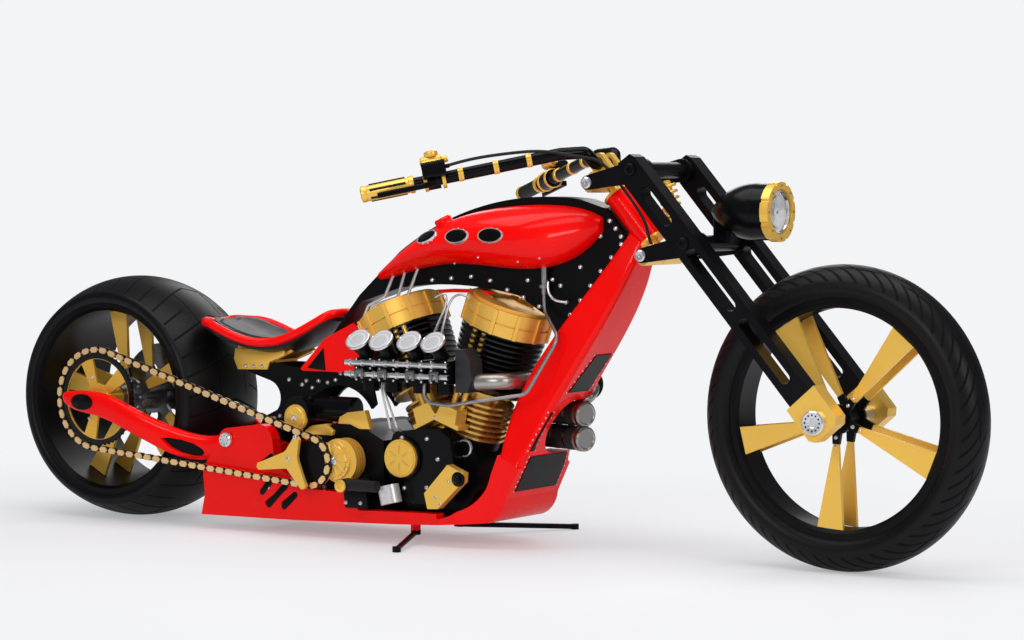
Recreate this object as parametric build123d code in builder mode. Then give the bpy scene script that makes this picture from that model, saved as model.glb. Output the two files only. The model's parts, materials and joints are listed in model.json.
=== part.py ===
"""Long low chopper motorcycle with a girder fork, an air-cooled V-twin and chain drive.

Millimetres. +X is forward, +Y is the rider's left, +Z is up.
The origin is on the floor, halfway along and halfway across.
"""

import os
from math import asin, atan2, cos, degrees, hypot, pi, radians, sin, sqrt

from build123d import *

os.makedirs("parts", exist_ok=True)

# Stance
wheelbase = 2199
front_tyre_r = 370
front_tyre_w = 126
rear_tyre_r = 337
rear_tyre_w = 320
rear_axle_x = -(wheelbase + front_tyre_r - rear_tyre_r) / 2
front_axle_x = rear_axle_x + wheelbase
seat_gap = 0.3          # between a soft or turning piece and its seat

# Girder fork, in its own frame: u forward of the steering axis, w up along it
rake = 41               # degrees from upright
axle_u = 130
axle_w = -665
stem_r = 14
head_tube_r = 34
head_tube_l = 160
leg_u = 137
leg_w = 66              # width of a leg seen from the side
leg_t = 50              # its thickness across the machine
leg_inner_y = 115
leg_top_w = 150
block_top_w = -597
link_back_top_w = 196
link_back_low_w = -42
link_front_top_w = 118
link_drop = link_back_top_w - link_front_top_w
crossbar_r = 20
front_axle_r = 16

# Rear of the frame
arm_length = 435        # swingarm pivot to rear axle, along the floor
pivot_x = rear_axle_x + arm_length
pivot_z = 244
plate_outer_y = 160     # outer face of the red side rails
plate_t = 34
rear_axle_r = 14
axle_sleeve_r = 22
arm_y = 232             # middle of a swingarm blade at the axle
arm_t = 32

# Chain line
chain_pitch = 15.875
rear_teeth = 54
front_teeth = 25
chain_y = -181
chain_half_w = 9
sprocket_t = 7

# Engine: 45 degree V-twin
crank_ahead = 1091      # of the rear axle
crank_x = rear_axle_x + crank_ahead
crank_z = 185
v_angle = 45
engine_tilt = -3        # the V leans back by this much
crankcase_r = 112
cylinder_r = 60
lower_fin_r = 82
upper_fin_r = 113
rocker_r = 116

# Gearbox
sprocket_ahead = 729    # gearbox output, of the rear axle
gearbox_x = rear_axle_x + sprocket_ahead
gearbox_z = 202

# Bars
bar_r = 16
grip_half_span = 370
grip_r = 19
grip_l = 130

# Parking legs
stand_behind = 79       # their pivots, behind the crankshaft
stand_pivot_y = 100
stand_pivot_z = 27
stand_rod_r = 7
right_foot = (-6, -290)             # forward of the crankshaft and out
left_foot = (120, 365)
right_stow = (-0.985, -0.17, 0.028)  # heading of each leg when it is folded
left_stow = (-0.94, 0.34, 0.028)


def side_at(x, y, z):
    """Plane that faces the near side: local x is +X, local y is +Z."""
    return Plane(origin=(x, y, z), x_dir=(1, 0, 0), z_dir=(0, -1, 0))


def section_at(x, y, z):
    """Plane across the machine: local x is +Y, local y is +Z."""
    return Plane(origin=(x, y, z), x_dir=(0, 1, 0), z_dir=(1, 0, 0))


rake_sin = sin(radians(rake))
rake_cos = cos(radians(rake))
head_x = front_axle_x - (axle_u * rake_cos - axle_w * rake_sin)
head_z = front_tyre_r - (axle_u * rake_sin + axle_w * rake_cos)
steering_axis = Vector(-rake_sin, 0, rake_cos)


def fork_point(u, y, w):
    """World place of a point in the fork's own frame."""
    return (head_x + u * rake_cos - w * rake_sin, y, head_z + u * rake_sin + w * rake_cos)


def fork_side(y):
    """Side plane of the fork: local x is u, local y is w."""
    return Plane(origin=(head_x, y, head_z), x_dir=(rake_cos, 0, rake_sin), z_dir=(0, -1, 0))


def fork_up(u, y, w):
    """Plane square to the steering axis, at a place in the fork's frame."""
    return Plane(origin=fork_point(u, y, w), x_dir=(rake_cos, 0, rake_sin), z_dir=steering_axis)


def from_crank(points):
    """Outline measured forward from the crankshaft and up from the floor."""
    return [(crank_x + x, z) for x, z in points]


def from_pivot(points):
    """Outline measured forward from the swingarm pivot and up from the floor."""
    return [(pivot_x + x, z) for x, z in points]


def save(part, name):
    part.label = name
    export_step(part, f"parts/{name}.step")


front_hub_point = (front_axle_x, 0, front_tyre_r)
rear_hub_point = (rear_axle_x, 0, rear_tyre_r)
front_wheel_axis = Axis(front_hub_point, (0, 1, 0))
rear_wheel_axis = Axis(rear_hub_point, (0, 1, 0))

# Front wheel
front_bead_r = front_tyre_r - 88
front_rim_w = 96
front_rim_in_r = front_bead_r - 16
front_blade_y = 33
front_blade_t = 10
front_blades = 5
front_blade_start = 50
front_blade_tip = 68
front_hub_arm_r = 60
front_blade_end = sqrt((front_rim_in_r - seat_gap) ** 2 - (front_blade_tip / 2) ** 2)
front_flange_h = 9
front_half = front_tyre_w / 2
front_rim_half = front_rim_w / 2

with BuildPart() as front_tyre:
    with BuildSketch(section_at(*front_hub_point)):
        with BuildLine():
            ThreePointArc((-front_half + 5, front_tyre_r - 36), (0, front_tyre_r),
                          (front_half - 5, front_tyre_r - 36))
            ThreePointArc((front_half - 5, front_tyre_r - 36), (front_half, front_tyre_r - 56),
                          (front_rim_half + 2, front_bead_r + front_flange_h))
            Polyline((front_rim_half + 2, front_bead_r + front_flange_h),
                     (front_rim_half - 5, front_bead_r + front_flange_h),
                     (front_rim_half - 5, front_bead_r), (-front_rim_half + 5, front_bead_r),
                     (-front_rim_half + 5, front_bead_r + front_flange_h),
                     (-front_rim_half - 2, front_bead_r + front_flange_h))
            ThreePointArc((-front_rim_half - 2, front_bead_r + front_flange_h),
                          (-front_half, front_tyre_r - 56), (-front_half + 5, front_tyre_r - 36))
        make_face()
    revolve(axis=front_wheel_axis)
save(front_tyre.part, "front_tyre")

with BuildPart() as front_rim:
    with BuildSketch(section_at(*front_hub_point)):
        Polygon((-front_rim_half, front_bead_r + front_flange_h),
                (-front_rim_half + 5, front_bead_r + front_flange_h),
                (-front_rim_half + 5, front_bead_r), (front_rim_half - 5, front_bead_r),
                (front_rim_half - 5, front_bead_r + front_flange_h),
                (front_rim_half, front_bead_r + front_flange_h),
                (front_rim_half, front_bead_r - 8), (front_rim_half - 6, front_rim_in_r),
                (-front_rim_half + 6, front_rim_in_r), (-front_rim_half, front_bead_r - 8),
                align=None)
    revolve(axis=front_wheel_axis)
save(front_rim.part, "front_rim")

with BuildPart() as front_spokes:
    for blade_y in (front_blade_y + front_blade_t, -front_blade_y):
        with BuildSketch(side_at(front_axle_x, blade_y, front_tyre_r)):
            with PolarLocations(0, front_blades, start_angle=front_blade_start):
                Polygon((front_hub_arm_r, -7), (front_blade_end, -front_blade_tip / 2),
                        (front_blade_end, front_blade_tip / 2), (front_hub_arm_r, 7), align=None)
        extrude(amount=front_blade_t)
save(front_spokes.part, "front_spokes")

with BuildPart() as front_hub:
    with BuildSketch(side_at(*front_hub_point)):
        Circle(27)
    extrude(amount=52, both=True)
    for blade_y in (front_blade_y + front_blade_t, -front_blade_y):
        with BuildSketch(side_at(front_axle_x, blade_y, front_tyre_r)):
            Circle(36)
            with PolarLocations(0, front_blades, start_angle=front_blade_start):
                Polygon((20, -13), (front_hub_arm_r, -9), (front_hub_arm_r, 9), (20, 13), align=None)
        extrude(amount=front_blade_t)
    with BuildSketch(side_at(*front_hub_point)):
        Circle(front_axle_r + seat_gap)
    extrude(amount=60, both=True, mode=Mode.SUBTRACT)
save(front_hub.part, "front_hub")

# Rear wheel
rear_bead_r = rear_tyre_r - 79
rear_rim_w = 306
rear_rim_in_r = rear_bead_r - 14
rear_blade_y = 48
rear_blade_t = 10
rear_blades = 5
rear_blade_start = 26
rear_blade_tip = 60
rear_hub_arm_r = 78
rear_blade_end = sqrt((rear_rim_in_r - seat_gap) ** 2 - (rear_blade_tip / 2) ** 2)
rear_hub_half = 118
disc_r = 142
disc_y = 92
disc_t = 6
rear_half = rear_tyre_w / 2
rear_rim_half = rear_rim_w / 2

with BuildPart() as rear_tyre:
    with BuildSketch(section_at(*rear_hub_point)):
        with BuildLine():
            ThreePointArc((-rear_half + 14, rear_tyre_r - 38), (0, rear_tyre_r),
                          (rear_half - 14, rear_tyre_r - 38))
            ThreePointArc((rear_half - 14, rear_tyre_r - 38), (rear_half, rear_tyre_r - 58),
                          (rear_rim_half + 1, rear_bead_r + 8))
            Polyline((rear_rim_half + 1, rear_bead_r + 8), (rear_rim_half - 5, rear_bead_r + 8),
                     (rear_rim_half - 5, rear_bead_r), (-rear_rim_half + 5, rear_bead_r),
                     (-rear_rim_half + 5, rear_bead_r + 8), (-rear_rim_half - 1, rear_bead_r + 8))
            ThreePointArc((-rear_rim_half - 1, rear_bead_r + 8), (-rear_half, rear_tyre_r - 58),
                          (-rear_half + 14, rear_tyre_r - 38))
        make_face()
    revolve(axis=rear_wheel_axis)
save(rear_tyre.part, "rear_tyre")

with BuildPart() as rear_rim:
    with BuildSketch(section_at(*rear_hub_point)):
        Polygon((-rear_rim_half, rear_bead_r + 8), (-rear_rim_half + 5, rear_bead_r + 8),
                (-rear_rim_half + 5, rear_bead_r), (rear_rim_half - 5, rear_bead_r),
                (rear_rim_half - 5, rear_bead_r + 8), (rear_rim_half, rear_bead_r + 8),
                (rear_rim_half, rear_bead_r - 6), (rear_rim_half - 12, rear_rim_in_r),
                (-rear_rim_half + 12, rear_rim_in_r), (-rear_rim_half, rear_bead_r - 6),
                align=None)
    revolve(axis=rear_wheel_axis)
save(rear_rim.part, "rear_rim")

with BuildPart() as rear_spokes:
    for blade_y in (rear_blade_y + rear_blade_t, -rear_blade_y):
        with BuildSketch(side_at(rear_axle_x, blade_y, rear_tyre_r)):
            with PolarLocations(0, rear_blades, start_angle=rear_blade_start):
                Polygon((rear_hub_arm_r, -12), (rear_blade_end, -rear_blade_tip / 2),
                        (rear_blade_end, rear_blade_tip / 2), (rear_hub_arm_r, 12), align=None)
        extrude(amount=rear_blade_t)
save(rear_spokes.part, "rear_spokes")

with BuildPart() as rear_hub:
    with BuildSketch(side_at(*rear_hub_point)):
        Circle(42)
    extrude(amount=rear_hub_half, both=True)
    for blade_y in (rear_blade_y + rear_blade_t, -rear_blade_y):
        with BuildSketch(side_at(rear_axle_x, blade_y, rear_tyre_r)):
            Circle(54)
            with PolarLocations(0, rear_blades, start_angle=rear_blade_start):
                Polygon((30, -18), (rear_hub_arm_r, -14), (rear_hub_arm_r, 14), (30, 18), align=None)
        extrude(amount=rear_blade_t)
    with BuildSketch(side_at(rear_axle_x, disc_y + disc_t, rear_tyre_r)):
        Circle(disc_r)
        with PolarLocations(74, 6):
            Circle(20, mode=Mode.SUBTRACT)
    extrude(amount=disc_t)
    with BuildSketch(side_at(*rear_hub_point)):
        Circle(rear_axle_r + seat_gap)
    extrude(amount=rear_hub_half + 5, both=True, mode=Mode.SUBTRACT)
save(rear_hub.part, "rear_hub")

# Chain and sprockets: the chain is one fixed loop round both pitch circles
rear_pitch_r = chain_pitch / (2 * sin(pi / rear_teeth))
front_pitch_r = chain_pitch / (2 * sin(pi / front_teeth))
link_half_h = 6.5
plate_half_h = 7.5
core_half_w = 5.5
sprocket_rim_w = 19
spider_arms = 5

with BuildPart() as rear_sprocket:
    with BuildSketch(side_at(rear_axle_x, chain_y + sprocket_t / 2, rear_tyre_r)):
        Circle(rear_pitch_r - link_half_h - 4)
        with PolarLocations(rear_pitch_r - link_half_h - 5, rear_teeth):
            Polygon((0, -3.6), (4.4, 0), (0, 3.6), align=None)
        Circle(rear_pitch_r - link_half_h - sprocket_rim_w, mode=Mode.SUBTRACT)
        with PolarLocations(0, spider_arms, start_angle=38.5):
            Polygon((34, -12), (rear_pitch_r - link_half_h - sprocket_rim_w + 2, -22),
                    (rear_pitch_r - link_half_h - sprocket_rim_w + 2, 22), (34, 12), align=None)
        Circle(44)
    extrude(amount=sprocket_t)
    with BuildSketch(side_at(rear_axle_x, -rear_hub_half, rear_tyre_r)):
        Circle(38)
    extrude(amount=-chain_y + 6 - rear_hub_half)
    with BuildSketch(side_at(rear_axle_x, -rear_hub_half + 5, rear_tyre_r)):
        Circle(rear_axle_r + seat_gap)
    extrude(amount=100, mode=Mode.SUBTRACT)
save(rear_sprocket.part, "rear_sprocket")

with BuildPart() as front_sprocket:
    with BuildSketch(side_at(gearbox_x, chain_y + sprocket_t / 2, gearbox_z)):
        Circle(front_pitch_r - link_half_h - 1)
        with PolarLocations(front_pitch_r - link_half_h - 6, 5):
            Circle(6, mode=Mode.SUBTRACT)
    extrude(amount=sprocket_t)
    with BuildSketch(side_at(gearbox_x, -118 - seat_gap, gearbox_z)):
        Circle(16)
    extrude(amount=-chain_y - 118)
save(front_sprocket.part, "front_sprocket")

centre_dx = gearbox_x - rear_axle_x
centre_dz = gearbox_z - rear_tyre_r
centre_gap = hypot(centre_dx, centre_dz)
centre_angle = atan2(centre_dz, centre_dx)
wrap = asin((rear_pitch_r - front_pitch_r) / centre_gap)
run_length = centre_gap * cos(wrap)
loop_length = (2 * run_length + rear_pitch_r * (pi + 2 * wrap)
               + front_pitch_r * (pi - 2 * wrap))
links = 2 * round(loop_length / chain_pitch / 2)
link_step = loop_length / links


def loop_place(s):
    """Place and heading of the chain's pitch line, s along it from the upper rear tangent."""
    top = centre_angle + pi / 2 - wrap
    if s < run_length:
        x = rear_axle_x + rear_pitch_r * cos(top) + s * cos(top - pi / 2)
        z = rear_tyre_r + rear_pitch_r * sin(top) + s * sin(top - pi / 2)
        return x, z, top - pi / 2
    s -= run_length
    if s < front_pitch_r * (pi - 2 * wrap):
        angle = top - s / front_pitch_r
        return (gearbox_x + front_pitch_r * cos(angle), gearbox_z + front_pitch_r * sin(angle),
                angle - pi / 2)
    s -= front_pitch_r * (pi - 2 * wrap)
    low = centre_angle - pi / 2 + wrap
    if s < run_length:
        x = gearbox_x + front_pitch_r * cos(low) + s * cos(low - pi / 2)
        z = gearbox_z + front_pitch_r * sin(low) + s * sin(low - pi / 2)
        return x, z, low - pi / 2
    angle = low - (s - run_length) / rear_pitch_r
    return (rear_axle_x + rear_pitch_r * cos(angle), rear_tyre_r + rear_pitch_r * sin(angle),
            angle - pi / 2)


with BuildPart() as chain:
    with BuildSketch(side_at(rear_axle_x, chain_y + core_half_w, rear_tyre_r)):
        Circle(rear_pitch_r + link_half_h)
        with Locations((centre_dx, centre_dz)):
            Circle(front_pitch_r + link_half_h)
        make_hull()
    extrude(amount=2 * core_half_w)
    with BuildSketch(side_at(rear_axle_x, chain_y + core_half_w, rear_tyre_r)):
        Circle(rear_pitch_r - link_half_h)
        with Locations((centre_dx, centre_dz)):
            Circle(front_pitch_r - link_half_h)
        make_hull()
    extrude(amount=2 * core_half_w, mode=Mode.SUBTRACT)
    for plate_y in (chain_y + chain_half_w, chain_y - core_half_w):
        with BuildSketch(side_at(0, plate_y, 0)):
            for pair in range(links // 2):
                x, z, heading = loop_place((2 * pair + 1) * link_step)
                with Locations(Location((x, z), degrees(heading))):
                    Polygon((-0.86 * chain_pitch, 0), (-0.5 * chain_pitch, -plate_half_h),
                            (0.5 * chain_pitch, -plate_half_h), (0.86 * chain_pitch, 0),
                            (0.5 * chain_pitch, plate_half_h), (-0.5 * chain_pitch, plate_half_h),
                            align=None)
        extrude(amount=chain_half_w - core_half_w)
save(chain.part, "chain")

# Red monocoque: head tube, tapered down tube with the pipe notch, and the chin that turns under
monocoque_half_w = 122
tube_sections = (
    # forward of crank, height, depth, half width, lean of the section in degrees
    (426, 595, 93, 78, 33),
    (301, 416, 106, 86, 29),
    (224, 227, 69, 122, 26),
)
notch_low_z = 242
notch_high_z = 382
notch_in_y = -52
notch_r = (notch_high_z - notch_low_z) / 2

with BuildPart() as chin:
    with BuildSketch(side_at(0, plate_outer_y, 0)):
        with BuildLine():
            Polyline(*from_crank([(255, 211), (216, 132)]))
            ThreePointArc(*from_crank([(216, 132), (200, 92), (165, 68)]))
            Polyline(*from_crank([(165, 68), (27, 57), (27, 71), (64, 82), (85, 94)]))
            ThreePointArc(*from_crank([(85, 94), (140, 128), (172, 190)]))
            Polyline(*from_crank([(172, 190), (193, 243), (255, 211)]))
        make_face()
    extrude(amount=2 * plate_outer_y)
    chin_plan = [(27, plate_outer_y), (90, plate_outer_y - 4), (160, monocoque_half_w + 8),
                 (260, monocoque_half_w)]
    with BuildSketch(Plane.XY):
        Polygon(*[(crank_x + x, -y) for x, y in chin_plan],
                *[(crank_x + x, y) for x, y in reversed(chin_plan)], align=None)
    extrude(amount=300, mode=Mode.INTERSECT)

with BuildPart() as down_tube:
    with BuildSketch(Plane(origin=(head_x - 30, 0, head_z + 10), x_dir=(0, 1, 0),
                           z_dir=(-sin(radians(33)), 0, -cos(radians(33))))):
        RectangleRounded(72, 52, 14)
    for x, z, depth, half_w, lean in tube_sections:
        with BuildSketch(Plane(origin=(crank_x + x, 0, z), x_dir=(0, 1, 0),
                               z_dir=(-sin(radians(lean)), 0, -cos(radians(lean))))):
            RectangleRounded(2 * half_w, depth, 14)
    loft()
    add(chin.part)
    with BuildSketch(side_at(0, monocoque_half_w + 10, 0)):
        Polygon(*from_crank([(120, notch_low_z), (330, notch_low_z), (400, notch_high_z),
                             (120, notch_high_z)]), align=None)
    extrude(amount=monocoque_half_w + 10 - notch_in_y - notch_r, mode=Mode.SUBTRACT)
    with BuildSketch(section_at(crank_x + 120, notch_in_y + notch_r, notch_low_z + notch_r)):
        Circle(notch_r)
    extrude(amount=300, mode=Mode.SUBTRACT)
    with BuildSketch(fork_up(0, 0, 6)):
        Circle(head_tube_r)
    extrude(amount=head_tube_l - 12)
    for cup_w in (-34, head_tube_l - 6):
        with BuildSketch(fork_up(0, 0, cup_w)):
            Circle(head_tube_r + 4 + seat_gap)
        extrude(amount=40, mode=Mode.SUBTRACT)
    with BuildSketch(fork_up(0, 0, -30)):
        Circle(stem_r + 12)
    extrude(amount=head_tube_l + 60, mode=Mode.SUBTRACT)
save(down_tube.part, "down_tube")

with BuildPart() as steering_cups:
    for cup_w in (0, head_tube_l - 6):
        with BuildSketch(fork_up(0, 0, cup_w)):
            Circle(head_tube_r + 4)
            Circle(stem_r + 1, mode=Mode.SUBTRACT)
        extrude(amount=6)
save(steering_cups.part, "steering_cups")

# Black riveted spine over the engine
spine_half_w = 38
with BuildPart() as spine:
    with BuildSketch(side_at(0, spine_half_w, 0)):
        with BuildLine():
            Polyline(*from_crank([(-403, 517), (-303, 637), (-173, 753)]))
            ThreePointArc(*from_crank([(-173, 753), (130, 884), (382, 893)]))
            Polyline(*(from_crank([(382, 893)])
                       + [(head_x - 118, head_z + 84), (head_x - 22, head_z - 26),
                          (head_x - 50, head_z - 58), (head_x - 188, head_z - 222)]))
            Polyline(*([(head_x - 188, head_z - 222)]
                       + from_crank([(313, 550), (277, 600), (202, 645)])))
            ThreePointArc(*from_crank([(202, 645), (45, 668), (-173, 658)]))
            Polyline(*from_crank([(-173, 658), (-297, 619), (-355, 560), (-403, 517)]))
        make_face()
    extrude(amount=2 * spine_half_w)
    with BuildSketch(fork_up(0, 0, -60)):
        Circle(head_tube_r + 4 + seat_gap)
    extrude(amount=head_tube_l + 60, mode=Mode.SUBTRACT)
    add(down_tube.part, mode=Mode.SUBTRACT)
save(spine.part, "spine")

# Red fuel tank: two halves that bulge out from the spine
tank_sections = (
    # forward of crank, lowest height, highest height, widest half width
    (-225, 680, 702, 66),
    (-95, 712, 790, 118),
    (75, 727, 858, 140),
    (245, 717, 878, 138),
    (375, 748, 872, 112),
    (452, 812, 846, 62),
)
tank_in_y = spine_half_w + seat_gap
with BuildPart() as tank_half:
    for x, low_z, high_z, out_y in tank_sections:
        with BuildSketch(section_at(crank_x + x, 0, 0)):
            with BuildLine():
                mid_z = low_z + 0.45 * (high_z - low_z)
                Line((tank_in_y, low_z), (tank_in_y, high_z))
                ThreePointArc((tank_in_y, high_z),
                              (tank_in_y + 0.72 * (out_y - tank_in_y), high_z - 0.2 * (high_z - low_z)),
                              (out_y, mid_z))
                ThreePointArc((out_y, mid_z),
                              (tank_in_y + 0.72 * (out_y - tank_in_y), low_z + 0.12 * (high_z - low_z)),
                              (tank_in_y, low_z))
            make_face()
    loft()
with BuildPart() as fuel_tank:
    add(tank_half.part)
    mirror(tank_half.part, about=Plane.XZ)
save(fuel_tank.part, "fuel_tank")

# Parking legs: where each one turns and stands
stand_boss_t = 12
stand_pin_r = 5
stand_places = []
for name, side, (foot_x, foot_y), stow in (("right_stand", -1, right_foot, right_stow),
                                           ("left_stand", 1, left_foot, left_stow)):
    stand_pivot = Vector(crank_x - stand_behind, side * stand_pivot_y, stand_pivot_z)
    stand_foot = Vector(crank_x + foot_x, foot_y, stand_rod_r)
    stand_axis = (stand_foot - stand_pivot).cross(Vector(*stow)).normalized()
    stand_up = stand_axis if stand_axis.Z > 0 else -stand_axis
    stand_places.append((name, stand_pivot, stand_foot, stand_up))

# Low red cradle: two side rails with the pan between them
with BuildPart() as cradle:
    for rail_y in (plate_outer_y, -plate_outer_y + plate_t):
        with BuildSketch(side_at(0, rail_y, 0)):
            with BuildLine():
                Polyline(*(from_pivot([(-89, 37)]) + from_crank([(-423, 41), (-98, 51), (27, 57)])
                           + from_crank([(27, 86), (-98, 84), (-219, 80), (-262, 124),
                                         (-414, 128), (-494, 190), (-502, 244)])))
                ThreePointArc(*from_crank([(-502, 244), (-518, 279), (-564, 288)]))
                Polyline(*(from_crank([(-564, 288)]) + from_pivot([(6, 276)])))
                ThreePointArc(*from_pivot([(6, 276), (-22, 262), (-30, 240)]))
                Polyline(*from_pivot([(-30, 240), (-84, 161), (-77, 93), (-89, 37)]))
            make_face()
            with Locations((pivot_x, pivot_z)):
                Circle(11, mode=Mode.SUBTRACT)
        extrude(amount=plate_t)
    with BuildSketch(side_at(0, plate_outer_y - plate_t, 0)):
        Polygon(*from_crank([(-600, 39), (-423, 41), (-98, 51), (27, 57), (27, 69), (-98, 63),
                             (-423, 53), (-600, 51)]), align=None)
    extrude(amount=2 * (plate_outer_y - plate_t))
    for name, stand_pivot, stand_foot, stand_up in stand_places:
        lug_foot = stand_pivot + stand_up * (stand_boss_t / 2 + seat_gap)
        with BuildSketch(Plane(origin=lug_foot, z_dir=stand_up)):
            Circle(13)
        extrude(amount=22)
        with BuildSketch(Plane(origin=lug_foot, z_dir=stand_up)):
            Circle(stand_pin_r + seat_gap)
        extrude(amount=stand_boss_t + seat_gap, mode=Mode.SUBTRACT)
    slot_places = (
        # behind the crank, height, length, tilt of each slanted slot
        (-519, 199, 52, 33), (-525, 121, 42, 33), (-490, 103, 88, 34), (-448, 96, 58, 36),
    )
    with BuildSketch(side_at(0, 0, 0)):
        for x, z, length, tilt in slot_places:
            with Locations(Location((crank_x + x, z), tilt)):
                SlotOverall(length, 13)
    extrude(amount=plate_outer_y + 5, mode=Mode.SUBTRACT)
save(cradle.part, "cradle")

# Swingarm: two bowed blades outside the tyre, joined at the pivot tube
arm_sections = (
    # behind the pivot, out from the middle, height, thickness, depth
    (-512, arm_y, 356, 20, 22),
    (-435, arm_y, 340, arm_t, 62),
    (-290, arm_y - 8, 309, arm_t, 76),
    (-164, arm_y - 46, 272, arm_t, 84),
    (-64, plate_outer_y - 34, 241, 26, 62),
)
arm_window_l = 128
arm_window_w = 22
arm_tube_half = plate_outer_y - plate_t - 0.5
with BuildPart() as arm_blade:
    for x, y, z, width, depth in arm_sections:
        with BuildSketch(section_at(pivot_x + x, -y, z)):
            RectangleRounded(width, depth, 8)
    loft()
with BuildPart() as swingarm:
    add(arm_blade.part)
    mirror(arm_blade.part, about=Plane.XZ)
    for boss_y in (arm_tube_half, -arm_tube_half + 26):
        with BuildSketch(side_at(0, boss_y, 0)):
            Polygon(*from_pivot([(-70, 214), (-10, 216), (18, 232), (18, 256), (-10, 272),
                                 (-70, 268)]), align=None)
        extrude(amount=26)
    with BuildSketch(side_at(pivot_x, arm_tube_half, pivot_z)):
        Circle(26)
    extrude(amount=2 * arm_tube_half)
    with BuildSketch(side_at(rear_axle_x, 300, rear_tyre_r)):
        Circle(rear_axle_r + seat_gap)
    extrude(amount=600, mode=Mode.SUBTRACT)
    with BuildSketch(side_at(pivot_x, 200, pivot_z)):
        Circle(11)
    extrude(amount=400, mode=Mode.SUBTRACT)
    with BuildSketch(side_at(pivot_x - 167, arm_y + arm_t, 275)):
        with Locations(Location((0, 0), -11)):
            SlotOverall(arm_window_l, arm_window_w)
    extrude(amount=2 * (arm_y + arm_t), mode=Mode.SUBTRACT)
save(swingarm.part, "swingarm")

with BuildPart() as rear_axle:
    with BuildSketch(side_at(*rear_hub_point)):
        Circle(rear_axle_r)
    extrude(amount=arm_y + arm_t / 2 + 2, both=True)
    for sleeve_y, sleeve_l in ((arm_y - arm_t / 2 - 0.5, arm_y - arm_t / 2 - rear_hub_half - 2),
                               (chain_y - 7, arm_y - arm_t / 2 + chain_y - 7.5)):
        with BuildSketch(side_at(rear_axle_x, sleeve_y, rear_tyre_r)):
            Circle(axle_sleeve_r)
        extrude(amount=sleeve_l)
    with BuildSketch(side_at(pivot_x, plate_outer_y + 5, pivot_z)):
        Circle(10.5)
    extrude(amount=2 * plate_outer_y + 10)
    for cap_y in (plate_outer_y + 8, -plate_outer_y):
        with BuildSketch(side_at(pivot_x, cap_y, pivot_z)):
            Circle(17)
        extrude(amount=8)
save(rear_axle.part, "rear_axle")

# Brake caliper on a bracket from the left arm
caliper_angle = 48
with BuildPart() as brake_caliper:
    caliper_plane = Plane(origin=(rear_axle_x, disc_y + disc_t + 30, rear_tyre_r),
                          x_dir=(cos(radians(caliper_angle)), 0, sin(radians(caliper_angle))),
                          z_dir=(0, -1, 0))
    with BuildSketch(caliper_plane):
        with Locations((138, 0)):
            RectangleRounded(66, 110, 16)
    extrude(amount=disc_t + 2 * 30)
    with BuildSketch(caliper_plane.offset(28)):
        with Locations((100, 0)):
            Rectangle(92, 130)
    extrude(amount=disc_t + 4, mode=Mode.SUBTRACT)
    with BuildSketch(caliper_plane.offset(10)):
        Circle(axle_sleeve_r + 14)
        with Locations((138, 0)):
            Circle(30)
        make_hull()
        Circle(axle_sleeve_r + seat_gap, mode=Mode.SUBTRACT)
    extrude(amount=-10)
save(brake_caliper.part, "brake_caliper")

# Rear frame: two black plates that carry the seat, over the arch round the starter
rear_frame_y = 58
rear_frame_top = 433
with BuildPart() as rear_frame:
    for plate_y in (rear_frame_y, -rear_frame_y + 10):
        with BuildSketch(side_at(0, plate_y, 0)):
            with BuildLine():
                Polyline(*from_pivot([(-37, 448), (-3, 421), (70, 400)]))
                ThreePointArc(*from_pivot([(70, 400), (103, 362), (92, 322)]))
                Polyline(*(from_pivot([(92, 322), (45, 300), (28, 262), (150, 230), (188, 250),
                                       (204, 345), (228, 370)])))
                ThreePointArc(*from_pivot([(228, 370), (330, 392), (405, 337)]))
                Polyline(*from_pivot([(405, 337), (420, 350), (399, rear_frame_top),
                                      (180, rear_frame_top), (110, 447), (-37, 448)]))
            make_face()
        extrude(amount=10)
    for x, z, reach in ((130, 415, rear_frame_y), (130, 262, plate_outer_y - plate_t - seat_gap),
                        (60, 290, rear_frame_y), (300, 412, rear_frame_y)):
        with BuildSketch(side_at(pivot_x + x, reach, z)):
            Circle(9)
        extrude(amount=2 * reach)
save(rear_frame.part, "rear_frame")

# Sprung saddle: a red pan with a leather pad in it
seat_sections = (
    # behind the oil tank's front, height of the middle, half width, lift of the edges
    (-806, 545, 52, 6),
    (-745, 530, 118, 14),
    (-655, 497, 126, 16),
    (-565, 486, 100, 14),
    (-470, 520, 84, 10),
    (-384, 577, 44, 4),
)
pan_t = 14
pad_t = 20


def saddle_layer(base, thickness, inset):
    """Loft of shallow dished sections, a thickness deep, above the pan's underside."""
    with BuildPart() as layer:
        for number, (x, z, half_w, lift) in enumerate(seat_sections):
            end = number in (0, len(seat_sections) - 1)
            shift = (inset if number == 0 else -inset) if end else 0
            width = half_w - inset
            low = z + base
            with BuildSketch(section_at(crank_x + x + shift, 0, 0)):
                with BuildLine():
                    ThreePointArc((-width, low + lift), (0, low), (width, low + lift))
                    Line((width, low + lift), (width, low + lift + thickness))
                    ThreePointArc((width, low + lift + thickness), (0, low + thickness),
                                  (-width, low + lift + thickness))
                    Line((-width, low + lift + thickness), (-width, low + lift))
                make_face()
        loft()
    return layer.part


with BuildPart() as seat_pan:
    add(saddle_layer(-pan_t, pan_t, 0))
save(seat_pan.part, "seat_pan")
with BuildPart() as seat_pad:
    add(saddle_layer(0.6, pad_t, 16))
save(seat_pad.part, "seat_pad")

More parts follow.
